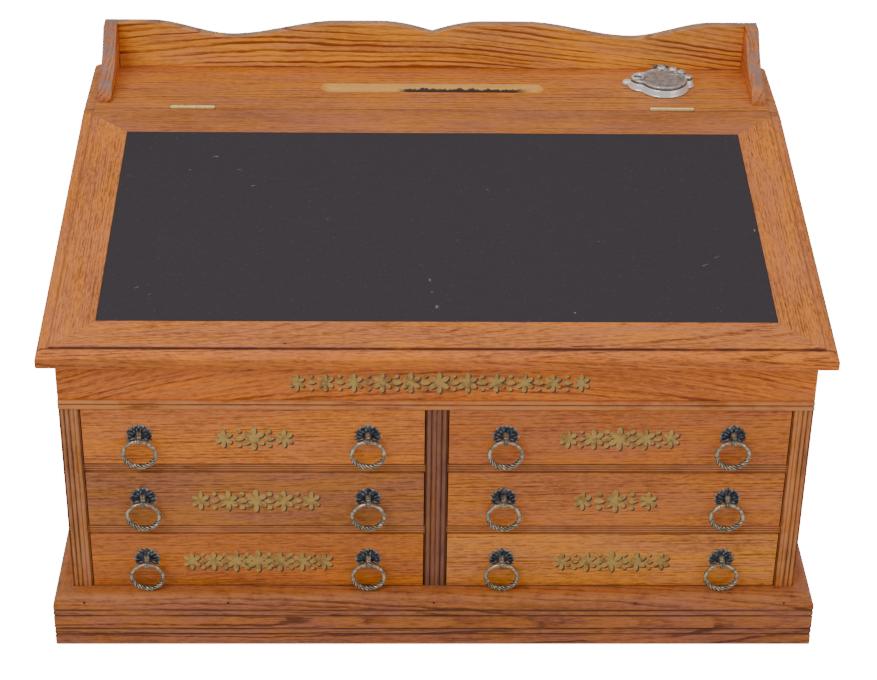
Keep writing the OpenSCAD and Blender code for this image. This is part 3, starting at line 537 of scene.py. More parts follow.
# %% The case's boards
LEAN_AND_BOW = {"frieze": (2, 0.36), "shelf": (0.5, 0), "gallery_back": (-3.5, 0.15)}
CASE_BOARDS = (
    ("stile_left", WORN_OAK, 0.5, "quarter"), ("stile_right", CASE_OAK, 0.5, "quarter"),
    ("stile_centre", DARK_OAK, 0.5, "quarter"), ("drawer_rails", CASE_OAK, 0.4, "quarter"),
    ("side_frame_left", CASE_OAK, 0.8, "quarter"), ("side_frame_right", CASE_OAK, 0.8, "quarter"),
    ("side_panel_left", CASE_OAK, 0.5, "flat"), ("side_panel_right", CASE_OAK, 0.5, "flat"),
    ("back_boards", BACK_WOOD, 0.6, "flat"), ("bottom_board", DARK_OAK, 0.5, "flat"),
    ("desk_floor", RAW_WOOD, 0.5, "flat"), ("centre_partition", RAW_WOOD, 0.5, "flat"),
    ("drawer_runners", RAW_WOOD, 0.5, "quarter"), ("frieze", FRIEZE_OAK, 0.5, "quarter"),
    ("frieze_bead", CASE_OAK, 0.4, "quarter"), ("plinth_front", PLINTH_OAK, 0.6, "flat"),
    ("plinth_sides", PLINTH_OAK, 0.6, "quarter"), ("shelf", SHELF_OAK, 0.8, "quarter"),
    ("gallery_back", GALLERY_OAK, 0.9, "quarter"), ("gallery_brackets", BRACKET_OAK, 0.9, "flat"))
for node, material, ease, cut in CASE_BOARDS:
    lean, bow = LEAN_AND_BOW.get(node, (0, 0))
    board(node, "root", material, ease, cut, lean, bow=bow)
print("case boards:", len(CASE_BOARDS))

# %% [markdown]
# The pen groove in the shelf was cut through the varnish, and a century of wet nibs has left its
# floor black in a ragged line. The finish goes into the shelf's own material by position, since
# both follow the groove and not the grain.

# %% The pen groove's finish
GROOVE_Y, GROOVE_HALF, SHELF_TOP_Z = 0.22975, (0.137, 0.0132), 0.43738


def reopened(material):
    """A finished material's shader, the place on the object, and the colour so far."""
    shader = material.node_tree.nodes["Principled BSDF"]
    return shader, here(material.node_tree), Value(shader.inputs["Base Color"].links[0].from_socket)


def groove_finish(material):
    shader, place, varnished = reopened(material)
    x, y, z = split(place)
    jag = (noise(place * (150, 40, 40), 1.0, 3.0, 0.7) - 0.5) * 0.005
    inside = ramp(SHELF_TOP_Z - z + jag * 0.1, 0.0005, 0.0012)
    for at, middle, half in ((x, 0.0, GROOVE_HALF[0]), (y, GROOVE_Y, GROOVE_HALF[1])):
        inside = inside * ramp(calc("ABSOLUTE", at - middle), half, half + 0.001, 1.0, 0.0)
    bare = blend(noise(place * (20, 700, 700), 1.0, 3.0), (1.0, 0.56, 0.12, 1), (0.62, 0.24, 0.045, 1))
    wet = ramp(x, -0.045, -0.03) * ramp(x, 0.1, 0.125, 1.0, 0.0)
    ink = ramp(SHELF_TOP_Z - z + jag, 0.0047, 0.0056) * wet * inside
    colour = blend(inside * 0.95, varnished, bare)
    feed(shader, {"Base Color": blend(ink, colour, (0.03, 0.016, 0.012, 1))})


groove_finish(SHELF_OAK)
print("groove:", [round(2 * half / MM) for half in GROOVE_HALF], "mm")

# %% [markdown]
# The lid's moulded front edge is the part that hands take hold of. Its varnish is yellower there,
# and a dark line of painted shade runs in the quirk behind the moulding. This too follows the edge.

# %% The lid's front edge
QUIRK_Y = -0.2871


def edge_finish(material):
    shader, place, varnished = reopened(material)
    y = split(place)[1]
    yellow = blend(ramp(y, QUIRK_Y - 0.001, QUIRK_Y, 1.0, 0.0), varnished, (1.06, 0.95, 0.66, 1), "MULTIPLY")
    # A dark line of painted shade along the quirk.
    sway = (noise(place, 90.0, 3.0) - 0.5) * 0.0016
    quirk_shade = ramp(calc("ABSOLUTE", y - QUIRK_Y + sway), 0.0006, 0.0022, 0.85, 0.0)
    quirk_shade = quirk_shade * ramp(noise(place, 40.0, 3.0), 0.3, 0.5, 0.5)
    feed(shader, {"Base Color": blend(quirk_shade, yellow, (0.11, 0.036, 0.03, 1))})


edge_finish(LID_OAK)
print("quirk at:", round(QUIRK_Y / MM, 1), "mm")

# %% [markdown]
# The lid slopes, so its grain is written in the lid's own tilted frame. Each drawer front is one
# board with its own tone, and its box stays raw, since no maker varnished what nobody sees.

# %% The boards of the lid and the drawers
LID_Y, LID_Z, SLOPE = -298.75, 363.6, math.radians(6.6)
for node, material, cut in (("lid_rail_front", LID_OAK, "flat"), ("lid_rail_back", LID_BACK_OAK, "quarter"),
                            ("lid_rails_side", LID_OAK, "quarter"), ("lid_panel", BACK_WOOD, "flat")):
    board(node, "lid", material, 0.8, cut, slope=SLOPE)
for number, material in enumerate(DRAWER_OAKS, 1):
    body = "drawer_%d" % number
    board(body + "_front", body, material, 0.8, "quarter", 1)
    board(body + "_box", body, RAW_WOOD, 0.5, "quarter")
print("drawers:", len(DRAWER_OAKS))

# %% [markdown]
# ## Turned, cast and drawn shapes
# Metal parts are built point by point. A form is a pair: an array of points and a list of faces.
# A few helpers cover them all: one skins a row of loops, as a boat builder planks frames, one
# turns a profile as on a lathe, and others move and join forms and make the finished piece.

# %% Form helpers
def circle(radius, steps):
    """The corners of a many-sided circle."""
    angle = np.linspace(0, 2 * math.pi, steps, endpoint=False)
    return np.column_stack((radius * np.cos(angle), radius * np.sin(angle)))


def skin(loops, ring=False):
    """Joins equal loops of points with quads, and closes the two ends, or the last loop to the first."""
    count, rows = len(loops[0]), len(loops)
    points = np.concatenate(loops)
    faces = [(r * count + k, r * count + (k + 1) % count, (r + 1) % rows * count + (k + 1) % count,
              (r + 1) % rows * count + k) for r in range(rows if ring else rows - 1) for k in range(count)]
    if not ring:
        faces += [tuple(range(count)), tuple(range(len(points) - 1, len(points) - count - 1, -1))]
    return points, faces


def moved(form, offset):
    """A copy of a form in another place."""
    return form[0] + np.array(offset), form[1]


def joined(*forms):
    """Several forms as one."""
    points, faces, start = [], [], 0
    for some, mine in forms:
        points.append(some)
        faces += [tuple(i + start for i in face) for face in mine]
        start += len(some)
    return np.concatenate(points), faces


def turned(profile, steps=48, axis=0):
    """Revolves a closed profile of (along, radius) pairs round an axis through the origin."""
    loops = [np.array([(along, radius * c, radius * s) for along, radius in profile])
             for c, s in circle(1, steps)]
    return skin([np.roll(loop, axis, axis=1) for loop in loops], ring=True)


def made(name, form, material, body, sharp=40, *nodes, **marks):
    """A finished piece from a form in millimetres. A mark is a function of the points, for an attribute."""
    mesh = bpy.data.meshes.new(name)
    mesh.from_pydata((form[0] * MM).tolist(), [], form[1])
    shape = bmesh.new()
    shape.from_mesh(mesh)
    bmesh.ops.remove_doubles(shape, verts=shape.verts, dist=0.001 * MM)
    bmesh.ops.recalc_face_normals(shape, faces=shape.faces)
    shape.to_mesh(mesh)
    shape.free()
    for face in mesh.polygons:
        face.use_smooth = True
    mesh.set_sharp_from_angle(angle=math.radians(sharp))
    for label, measure in marks.items():
        attach(mesh, label, measure(mesh_points(mesh) / MM))
    mesh.materials.append(material)
    piece = placed(name, mesh)
    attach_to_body(piece, body)
    if nodes:
        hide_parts(*nodes)
    return piece

# %% [markdown]
# ## Metals
# Cast silver plate, drawn brass, blued iron and nickel all share one recipe: a metallic shader,
# a tarnish that varies over the surface and fine scratches. Tarnish darkens the colour and
# roughens it, so one mask drives both. Bare edges and dark hollows come from marks on the pieces,
# and on some pieces these are painted highlights and painted shade.

# %% Metal group and metals
def tarnish():
    tree, given, out = start_tree("tarnish", {
        "Bright": (COLOUR, WHITE), "Dull": (COLOUR, WHITE), "Bare": (COLOUR, WHITE), "Grime": (COLOUR, WHITE),
        "Scale": (FLOAT, 150.0), "Amount": (FLOAT, 0.5)},
        {"Color": COLOUR, "Mask": FLOAT, "Height": FLOAT})
    place = here(tree)
    mask = ramp(noise(place, given["Scale"], 4.0, 0.6) + (given["Amount"] - 0.5), 0.35, 0.65)
    # Bare on marked edges, which on some pieces is painted highlight; dark in marked hollows, which on some
    # pieces is painted shade.
    rubbed_and_highlight = mark(tree, "edge") * ramp(noise(place, 260.0, 3.0), 0.36, 0.56)
    hollow = mark(tree, "hollow")
    colour = blend(rubbed_and_highlight, blend(mask, given["Bright"], given["Dull"]), given["Bare"])
    feed(out, {"Color": blend(hollow, colour, given["Grime"]),
               "Mask": calc("MAXIMUM", mask * (1.0 - rubbed_and_highlight), hollow), "Height": noise(place, 900.0)})
    return tree


TARNISH_AND_SHADING = tarnish()


def metal(name, bright, dull, rough, amount, scale, metallic, bare=None, grime_and_shade=(0.02, 0.018, 0.016)):
    """A metal between a bright and a tarnished state, worn bare on its edges and dark in its hollows. On some
    pieces the bare marks are painted highlights and the dark ones painted shade.
    """
    material, tree, shader = new_material(name)
    inputs = {"Scale": scale, "Amount": amount}
    for key, value in (("Bright", bright), ("Dull", dull), ("Bare", bare or bright), ("Grime", grime_and_shade)):
        inputs[key] = value + (1.0,)
    state = outputs(add(tree, "ShaderNodeGroup", inputs, node_tree=TARNISH_AND_SHADING))
    feed(shader, {"Base Color": state["Color"], "Roughness": ramp(state["Mask"], 0, 1, *rough),
                  "Metallic": metallic})
    bumped(shader, state["Height"], 0.15, 0.0001)
    return material


BRASS = metal("brass", (1.0, 0.76, 0.33), (0.66, 0.43, 0.15), (0.2, 0.42), 0.35, 150, 0.6)
SILVER = metal("silver_plate", (1.0, 0.99, 0.98), (0.45, 0.42, 0.41), (0.18, 0.45), 0.34, 380, 0.35)
DULL_SILVER = metal("cover_silver", (0.55, 0.51, 0.5), (0.26, 0.23, 0.22), (0.3, 0.6), 0.5, 160, 0.6,
                    bare=(1.0, 0.99, 0.98), grime_and_shade=(0.05, 0.04, 0.04))
BLUED_IRON = metal("blued_iron", (0.075, 0.095, 0.12), (0.02, 0.022, 0.03), (0.3, 0.55), 0.5, 220, 0.85,
                   bare=(0.72, 0.72, 0.68))
NICKEL = metal("nickel", (0.62, 0.57, 0.44), (0.24, 0.2, 0.14), (0.2, 0.45), 0.52, 240, 0.85,
               bare=(0.86, 0.82, 0.7), grime_and_shade=(0.03, 0.022, 0.018))
DARK_IRON = metal("dark_iron", (0.06, 0.05, 0.045), (0.02, 0.016, 0.014), (0.5, 0.7), 0.5, 300, 0.6)
print("tarnish nodes:", len(TARNISH_AND_SHADING.nodes))

# %% [markdown]
# The plinth's front board is nailed through its rounded top. The nails are punched in, and each
# hole is a disc of dark iron colour, partly the nail's iron and partly painted shade for the hole's
# depth. They are the only dark dots there, so they are set out one by one.

# %% Nail holes
NAILS_X, NAIL_AT, NAIL_OUT = (-388, -229, -1, 223, 389), (-297.9, 58.0), (-0.944, 0.329)


def nail_hole(x, radius=1.15):
    """A dark disc that lies on the plinth's rounded top."""
    (y, z), (out_y, out_z) = NAIL_AT, NAIL_OUT
    loops = []
    for rise, r in ((-0.4, radius), (0.0, radius), (0.06, radius * 0.7)):
        loops.append(np.array([(x + u, y + out_y * rise + out_z * v, z + out_z * rise - out_y * v)
                               for u, v in circle(r, 14)]))
    return skin(loops)


made("plinth_nail_holes", joined(*[nail_hole(x) for x in NAILS_X]), DARK_IRON, "root")
print("nail holes:", len(NAILS_X))

# %% [markdown]
# ## Butt hinges
# The lid turns on two brass butts, let in flush. A butt is two leaves folded round one pin. Their
# shapes are right in the CAD model, so they only get soft corners and a brass that has yellowed.

# %% Brass hinges
for node, body in (("hinge_fixed_leaves", "root"), ("hinge_lid_leaves", "lid")):
    piece = eased(node, node + "_brass", BRASS, 0.2)
    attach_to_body(piece, body)
    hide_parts(node)
    print(piece.name, len(piece.data.polygons), "faces")

# %% [markdown]
# ## Ring pulls
# Each pull is a cast ring whose wire thickens towards the bottom, where it is twisted like rope.
# One sweep makes it: the wire's section is carried round the ring, and in the lower part its
# radius dips on four helices, between the strands. The ring hangs from its topmost point, which
# is the joint's axis.

# %% Ring pulls
RING_R, RING_WIDE, WIRE_TOP, WIRE_LOW, TWIST_D = 16.2, 1.2, 1.9, 2.9, 1.0
STRANDS, TURNS = 4, 6
PULL_X, PULL_Y = 122, -286.25
BANK_X = 195.75
FRONT_Y = -277.25
DRAWER_Z = (231, 149, 67)
PIVOT_RISE = 35
DRAWERS = range(1, 7)


def drawer_middle(number):
    """A drawer's middle in x and the height of its pulls' pivots."""
    return (-BANK_X if number < 4 else BANK_X), DRAWER_Z[(number - 1) % 3] + PIVOT_RISE


def step(value, low, high):
    """Rises softly from 0 to 1 between low and high."""
    share = np.clip((value - low) / (high - low), 0, 1)
    return share * share * (3 - 2 * share)


def twist_share(angle):
    """How much of the rope twist there is at an angle from the ring's top: none above, all below."""
    return step(-np.abs(np.degrees(angle) % 360 - 180), -105, -60)


def wire_radius(angle):
    return WIRE_TOP + (WIRE_LOW - WIRE_TOP) * (1 - np.cos(angle)) / 2


def rope_ring(steps=300, sides=32):
    a, turn = np.meshgrid(np.arange(steps) * 2 * math.pi / steps, np.arange(sides) * 2 * math.pi / sides,
                          indexing="ij")
    groove = np.abs(np.cos(STRANDS / 2 * (turn + TURNS * a))) ** 4
    r = wire_radius(a) - twist_share(a) * TWIST_D * groove
    out = r * np.cos(turn)
    return skin(list(np.stack(((RING_R + RING_WIDE + out) * np.sin(a), r * np.sin(turn),
                               (RING_R + out) * np.cos(a) - RING_R), -1)), ring=True)


def rope_depth(at):
    """A function that says how deep in the rope's grooves a point lies, for a ring that hangs from at."""
    def depth(points):
        x, y, z = (points - np.array(at)).T
        angle = np.arctan2(x / (RING_R + RING_WIDE), (z + RING_R) / RING_R)
        aside, above = x - (RING_R + RING_WIDE) * np.sin(angle), z + RING_R - RING_R * np.cos(angle)
        off = np.hypot(np.hypot(aside, above), y)
        return np.clip((wire_radius(angle) - off) / TWIST_D * 1.5 - 0.35, 0, 1)
    return depth


RING = rope_ring()
for number in DRAWERS:
    x, z = drawer_middle(number)
    for side, sign in (("left", -1), ("right", 1)):
        name = "drawer_%d_ring_%s" % (number, side)
        at = (x + sign * PULL_X, PULL_Y, z)
        made(name + "_rope", moved(RING, at), NICKEL, name, 70, name, hollow=rope_depth(at))
print("ring:", len(RING[0]), "points")

# %% [markdown]
# ## Leaf plates
# A ring hangs in a strap on a fan of pointed leaves. A foundry would carve one leaf and repeat it.
# So does the script: one leaf is modelled, and a Geometry Nodes tree sets copies of it round an
# arc. Its count, spread and lift are named inputs, and the same tree makes both layers.

# %% One leaf
LEAF_ROWS, LEAF_COLS = 9, 8


def leaf(length, width, thick):
    """A pointed leaf that stands up from the origin, with a raised rib and a bevelled edge."""
    loops = []
    for i in range(LEAF_ROWS):
        t = i / (LEAF_ROWS - 1)
        half = max(0.04, width / 2 * math.sin(math.pi * (0.2 + 0.8 * t) ** 1.7) ** 0.75)
        loop = []
        for k in range(LEAF_COLS):
            s = k / (LEAF_COLS - 1) * 2 - 1
            rise = thick * (1 - 0.7 * t * t) * (0.2 + 0.8 * (1 - abs(s)) ** 0.8 * (1 - 0.3 * math.cos(6 * s)))
            loop.append((half * s, -rise, length * t))
        loop += [(half, 0, length * t), (-half, 0, length * t)]
        loops.append(np.array(loop))
    return skin(loops)


print("leaf:", len(leaf(1, 1, 1)[0]), "points")

# %% [markdown]
# Every tree of copies ends in the same way: the pattern is instanced on a row of points, the copies
# are made real, since the export drops instances, and they get their material. So one function
# builds that frame, and a short function of its own says where each copy stands and how it turns.

# %% Geometry Nodes: a fan of copies
OBJECT, INTEGER = "NodeSocketObject", "NodeSocketInt"
MATERIAL, GEOMETRY = "NodeSocketMaterial", "NodeSocketGeometry"


def copy_tree(name, inputs, arrange):
    """A tree that copies an object. arrange gives each copy's Position, and its Rotation or Scale."""
    kinds = {"Geometry": (GEOMETRY,), "Pattern": (OBJECT,), "Count": (INTEGER,), **inputs,
             "Material": (MATERIAL,)}
    tree, given, out = start_tree(name, kinds, {"Geometry": GEOMETRY}, "GeometryNodeTree")
    ways = arrange(tree, given, get(tree, "GeometryNodeInputIndex", {}))
    line = get(tree, "GeometryNodeMeshLine", {"Count": given["Count"], "Offset": (0, 0, 0)})
    row = get(tree, "GeometryNodeSetPosition", {"Geometry": line, "Position": ways.pop("Position")})
    pattern = get(tree, "GeometryNodeObjectInfo", {"Object": given["Pattern"]}, "Geometry")
    copies = get(tree, "GeometryNodeInstanceOnPoints", {"Points": row, "Instance": pattern, **ways})
    real = get(tree, "GeometryNodeRealizeInstances", {"Geometry": copies})
    feed(out, {"Geometry": get(tree, "GeometryNodeSetMaterial", {"Geometry": real,
                                                                 "Material": given["Material"]})})
    return tree


def copied(tree, form, **values):
    """Runs a tree of copies on a form in millimetres and returns all the copies as one form."""
    mesh = bpy.data.meshes.new("pattern")
    mesh.from_pydata((form[0] * MM).tolist(), [], form[1])
    values["Pattern"] = bpy.data.objects.new("pattern", mesh)
    holder = placed("copies", bpy.data.meshes.new("copies"))
    nodes = holder.modifiers.new("copies", "NODES")
    nodes.node_group = tree
    for item in tree.interface.items_tree:
        if item.in_out == "INPUT" and item.name in values:
            nodes[item.identifier] = values[item.name]
    depsgraph = bpy.context.evaluated_depsgraph_get()
    mesh = bpy.data.meshes.new_from_object(holder.evaluated_get(depsgraph), depsgraph=depsgraph)
    bpy.data.objects.remove(holder)
    bpy.data.objects.remove(values["Pattern"])
    form = mesh_points(mesh) / MM, [tuple(face.vertices) for face in mesh.polygons]
    bpy.data.meshes.remove(mesh)
    return form


def round_the_middle(tree, given, index):
    """Places on a fan: the copies turn about one point, and Lift brings them forward."""
    angle = (index / (given["Count"] - 1) - 0.5) * given["Spread"]
    return {"Position": xyz(tree, Y=given["Lift"] * -1), "Rotation": xyz(tree, Y=angle)}


FAN = copy_tree("leaf_fan", {"Spread": (FLOAT,), "Lift": (FLOAT,)}, round_the_middle)
BACK_FAN, FRONT_FAN = (11, 230), (8, 185)  # leaves, and degrees from the first to the last
BACK_LEAF, FRONT_LEAF = (15.4, 6.0, 1.1), (11.0, 4.6, 1.0)  # length, width and thickness
fans = []
for size, (count, spread), lift in ((BACK_LEAF, BACK_FAN, 0.0), (FRONT_LEAF, FRONT_FAN, 0.7)):
    fans.append(copied(FAN, leaf(*size), Count=count, Spread=math.radians(spread), Lift=lift * MM,
                       Material=BLUED_IRON))
print("fans:", [len(points) for points, faces in fans], "points")

# %% [markdown]
# The strap is a collar bent round the ring's wire, with three raised bands on it, and a shank that
# rises to the plate, where it meets a small button.

# %% Strap and button
EYE_R, EYE_HOLE, STRAP_W = 3.9, 2.35, 5.0
STRAP_PLACES = np.linspace(-STRAP_W / 2, STRAP_W / 2, 31)
BANDS, BAND_DEPTH = 3, 0.45
FAN_RISE = 1.5


def band_line(across):
    """1 on the lines between the strap's bands, and 0 on their crests."""
    return abs(np.sin(math.pi * BANDS * (across / STRAP_W + 0.5))) ** 8


def collar():
    """A tube round the wire with a banded outside, closed at both edges."""
    outside = [(x, EYE_R - BAND_DEPTH * band_line(x)) for x in STRAP_PLACES]
    return turned([(-STRAP_W / 2, EYE_HOLE)] + outside + [(STRAP_W / 2, EYE_HOLE)], 40)


def shank():
    """The bar from the collar back to the plate, with the collar's bands on its top."""
    crest = ((8.95, 7.6), (7.6, 8.3), (6.2, 7.9), (4.2, 6.2), (2.2, 4.6), (0.0, EYE_R))
    round_hole = [(2.6 * math.sin(a), 2.6 * math.cos(a)) for a in np.linspace(0, math.pi / 2 + 0.6, 9)]
    loops = []
    for x in STRAP_PLACES:
        top = [(y, z - BAND_DEPTH * band_line(x)) for y, z in crest]
        loops.append(np.array([(x, y, z) for y, z in [(8.95, -1.9)] + top + round_hole]))
    return skin(loops)


def button(radius, rise):
    """A domed button on the drawer face, facing the front."""
    return turned([(0, 0.01), (0, radius), (-rise * 0.35, radius), (-rise * 0.55, radius * 0.86),
                   (-rise * 0.6, radius * 0.7), (-rise * 0.9, radius * 0.55), (-rise, radius * 0.25),
                   (-rise, 0.01)], 32, axis=1)


def leaf_wear_and_glints(x, z):
    """A function that marks two fans: worn in patches at the tips, and painted glints along the ribs."""
    def worn(points):
        across, up = np.abs(points[:, 0] - x) - PULL_X, points[:, 2] - z
        reach, angle = np.hypot(across, up), np.degrees(np.arctan2(across, up))
        patch = 0.5 + 0.5 * np.sin(points[:, 0] * 0.9 + 2.1 * np.sin(points[:, 2] * 0.7))
        tips = np.clip((reach - 12.2) / 2.6, 0, 1) * patch
        back, front = (spread / (count - 1) for count, spread in (BACK_FAN, FRONT_FAN))
        in_front = reach < 10.6
        spacing, first = np.where(in_front, front, back), np.where(in_front, front / 2, 0)
        off_rib = np.abs(np.mod((angle - first) / spacing + 0.5, 1) - 0.5)
        # Painted glints: bright lines along the leaves' ribs.
        ribs = np.exp(-(off_rib / 0.09) ** 2) * np.clip((reach - 4) / 3, 0, 1) * (1.1 - patch)
        return np.clip(tips + 0.8 * ribs * (FRONT_Y - points[:, 1] > 0.3), 0, 1)
    return worn


def strap_lines(x):
    """A function that marks the dark lines between the bands of two straps."""
    return lambda points: 0.9 * band_line(np.abs(points[:, 0] - x) - PULL_X)


for number in DRAWERS:
    x, z = drawer_middle(number)
    parts, straps = [], []
    for sign in (-1, 1):
        at = (x + sign * PULL_X, FRONT_Y, z + FAN_RISE)
        parts += [moved(form, at) for form in (*fans, button(5, 2.6))]
        pivot = (x + sign * PULL_X, PULL_Y, z)
        straps += [moved(collar(), pivot), moved(shank(), pivot)]
    body = "drawer_%d" % number
    made(body + "_leaf_plates", joined(*parts), BLUED_IRON, body, 50, body + "_plates",
         edge=leaf_wear_and_glints(x, z + FAN_RISE))
    made(body + "_straps", joined(*straps), NICKEL, body, 50, hollow=strap_lines(x))
print("straps and plates:", 2 * len(DRAWERS))

# %% [markdown]
# Slotted screws hold the hinges' leaves, three in a row. A screw here is only its head, two halves
# beside a slot, since the rest is in the wood. A fitter never lines the slots up, so the tree turns
# each head by a random angle.

# %% Screws of the hinges
HINGE_X, HINGE_Y, PIN_Z = 287, 169.75, 438.38
LEAF_SCREWS, SCREW_PITCH, SCREW_DROP = 3, 17, 9


def screw_head(radius=2.3, rise=0.1, slot=0.28):
    """Two flat halves beside a slot."""
    start = math.asin(slot / radius)
    arc = [(radius * math.cos(a), radius * math.sin(a)) for a in np.linspace(start, math.pi - start, 20)]
    return joined(*[skin([np.array([(x, y, sign * z) for x, z in arc]) for y in (0.0, -rise)])
                    for sign in (1, -1)])


def in_a_row(tree, given, index):
    """Places along a row, each turned at random."""
    turn = get(tree, "FunctionNodeRandomValue", {2: 0.0, 3: math.pi, "Seed": given["Seed"]}, 1)
    return {"Position": xyz(tree, X=index * given["Pitch"]), "Rotation": xyz(tree, Y=turn)}


SCREWS = copy_tree("screw_row", {"Pitch": (FLOAT,), "Seed": (INTEGER,)}, in_a_row)
for body, face, facing, seed in (("root", 0.2, 1, 3), ("lid", -0.2, -1, 8)):
    heads = []
    for i, x in enumerate((-HINGE_X, HINGE_X)):
        points, faces = copied(SCREWS, screw_head(), Count=LEAF_SCREWS, Pitch=SCREW_PITCH * MM, Seed=seed + i,
                               Material=BRASS)
        first = (x - SCREW_PITCH, HINGE_Y + face, PIN_Z - SCREW_DROP)
        heads.append((points * (1, facing, 1) + first, faces))
    made(body + "_hinge_screws", joined(*heads), BRASS, body)
print("screws in a leaf:", LEAF_SCREWS)

# %% [markdown]
# ## Inkwell
# The inkwell is a casting: a rim with a volute and lobes round it, and a hinged cover that repeats
# the outline. Its outline is a soft union of discs, written as a distance: negative inside,
# positive outside. With that one function the outline can be found in every direction, and the
# distance from the edge also shapes the border, the lobes and the flutes of the cover.

# %% The cartouche as a distance
INK_AT = np.array((283.0, 233.25, 437.38))
INK_R, VOLUTE, CURL, TAIL = 30.0, (-27, 3, 15), (-31.5, 4, 9.5), (-44, 9, 5.5)
LOBES = [(30.5 * math.cos(math.radians(a)), 30.5 * math.sin(math.radians(a)), 7) for a in (10, 40, 64, 90)]
RIM_H = 9.0


def soft_union(a, b, soft):
    share = np.clip(0.5 + 0.5 * (b - a) / soft, 0, 1)
    return b * (1 - share) + a * share - soft * share * (1 - share)


def disc(x, y, at):
    return np.hypot(x - at[0], y - at[1]) - at[2]


def cartouche(x, y, soft=1.2):
    """Distance in millimetres from the inkwell's outline."""
    edge = soft_union(disc(x, y, (0, 0, INK_R)), disc(x, y, VOLUTE), 2.5)
    for lobe in LOBES:
        edge = soft_union(edge, disc(x, y, lobe), soft)
    return edge


def outline(steps, inset):
    """Points where the distance is -inset, one in each direction from the middle."""
    angle = np.linspace(0, 2 * math.pi, steps, endpoint=False)
    low, high = np.full(steps, 15.0), np.full(steps, 60.0)
    for _ in range(30):
        middle = (low + high) / 2
        inside = cartouche(middle * np.cos(angle), middle * np.sin(angle)) < -inset
        low, high = np.where(inside, middle, low), np.where(inside, high, middle)
    return np.stack((low * np.cos(angle), low * np.sin(angle)), 1)


def at_height(flat, z):
    return np.column_stack((flat, np.full(len(flat), z)))


print("inkwell:", np.ptp(outline(90, 0.0), axis=0).round(), "mm")

# %% The rim
RIM_STEPS = 300
GLASS_R, FLANGE_R, FLANGE_Z = 22.08, 24.58, 6.5
rim = [at_height(outline(RIM_STEPS, -out), z) for out, z in (
    (0.9, 0.0), (1.0, 0.4), (1.0, 1.2), (0.75, 1.7), (0.35, 2.4), (0.05, 3.6), (-0.35, 5.4), (-0.85, 7.0),
    (-1.2, 8.0), (-1.5, 8.6), (-2.0, 8.92), (-2.6, 9.0), (-3.2, 8.8), (-3.6, 8.6), (-4.2, 8.6))]
for radius, z in ((FLANGE_R, 8.6), (FLANGE_R, FLANGE_Z), (GLASS_R, FLANGE_Z), (GLASS_R, 0.0)):
    rim.append(at_height(circle(radius, RIM_STEPS), z))
tail = []
for share, z in ((1.0, 0.0), (1.04, 0.8), (1.0, 3.6), (0.86, 4.9), (0.6, 5.5), (0.3, 5.0), (0.16, 5.2)):
    u, v = circle(1, 40).T
    long = 1 + 0.9 * np.maximum(0, u) ** 2
    tail.append(at_height(np.column_stack((TAIL[0] + TAIL[2] * share * long * u,
                                           TAIL[1] + TAIL[2] * share * (v - 0.35 * (long - 1)))), z))


def rim_painted_shade(points):
    """Painted shade: a painted contact shadow at the rim's foot, and a dark line in the gap under the cover.
    """
    z = points[:, 2] - INK_AT[2]
    return np.clip(np.maximum((z - 8.7) / 0.2, (1.7 - z) / 1.2), 0, 1) * 0.85


rim_and_tail = joined(skin(rim, ring=True), skin(tail))
made("inkwell_rim", moved(rim_and_tail, INK_AT), SILVER, "root", 35, "inkwell_base", hollow=rim_painted_shade)
print("rim:", RIM_STEPS * len(rim), "points")

# %% [markdown]
# The cover turns on a pin at the back. Two lugs stand on a bridge that reaches out of the rim, each
# with a barrel on top, and the cover's own barrel sits between them. It is a guess from how such
# inkwells are made, since the photograph doesn't show it.

# %% The hinge of the cover
BARREL_Y, BARREL_Z, BARREL_R, BARREL_L = 40.7, 10.4, 2.2, 14
LUG_CORNERS = ((-1, -0.7), (-0.7, -1), (0.7, -1), (1, -0.7), (1, 0.7), (0.7, 1), (-0.7, 1), (-1, 0.7))


def barrel(half, hole):
    """A knuckle of a hinge with softened ends."""
    shoulder = half - 0.35
    return turned([(-half, hole), (-half, 1.8), (-shoulder, BARREL_R), (shoulder, BARREL_R), (half, 1.8),
                   (half, hole)], 32)


lugs = []
for x in (-BARREL_L / 2, BARREL_L / 2):
    lugs.append(moved(barrel(1.75, 0.9), (x, BARREL_Y, BARREL_Z)))
    lugs.append(skin([np.array([(x + u * half, BARREL_Y + v * 1.9, z) for u, v in LUG_CORNERS])
                      for z, half in ((0.0, 1.9), (2.5, 1.7), (BARREL_Z, 1.6))]))
end, chamfer = BARREL_L * 0.62, BARREL_L * 0.61
pin = turned([(-end, 0.01), (-end, 0.8), (-chamfer, 1.0), (chamfer, 1.0), (end, 0.8), (end, 0.01)], 24)
bridge = skin([np.array([(x, 30, 0.0), (x, BARREL_Y + 1.5, 0.0), (x, BARREL_Y + 1.5, 2.2),
                         (x, BARREL_Y + 1.1, 2.5), (x, 30, 2.5)]) for x in (-8.6, -8.2, 8.2, 8.6)])
hinge = joined(bridge, moved(pin, (0, BARREL_Y, BARREL_Z)), *lugs)
# The lugs are darkened halfway all over, as tarnish and as painted shade for their place behind the cover.
made("inkwell_hinge_lugs", moved(hinge, INK_AT), DULL_SILVER, "root", 35,
     hollow=lambda points: np.full(len(points), 0.5))
print("pin:", round(2 * end, 1), "mm")

# %% [markdown]
# The cover is one relief. Its height is a sum of simple shapes: a raised border near the edge, a
# dome on each lobe, a ring and a boss for the curl, and flutes that fan out from the right.

# %% The cover's relief
PLATE_T, BORDER_T, BORDER_W, COVER_IN = 2.0, 3.6, 4.5, 1.5
COVER_AT = INK_AT + (0, 0, RIM_H + 0.4)


def lobe_reach(x, y, lobe):
    return np.hypot(x - lobe[0], y - lobe[1]) / (lobe[2] - 1.4)


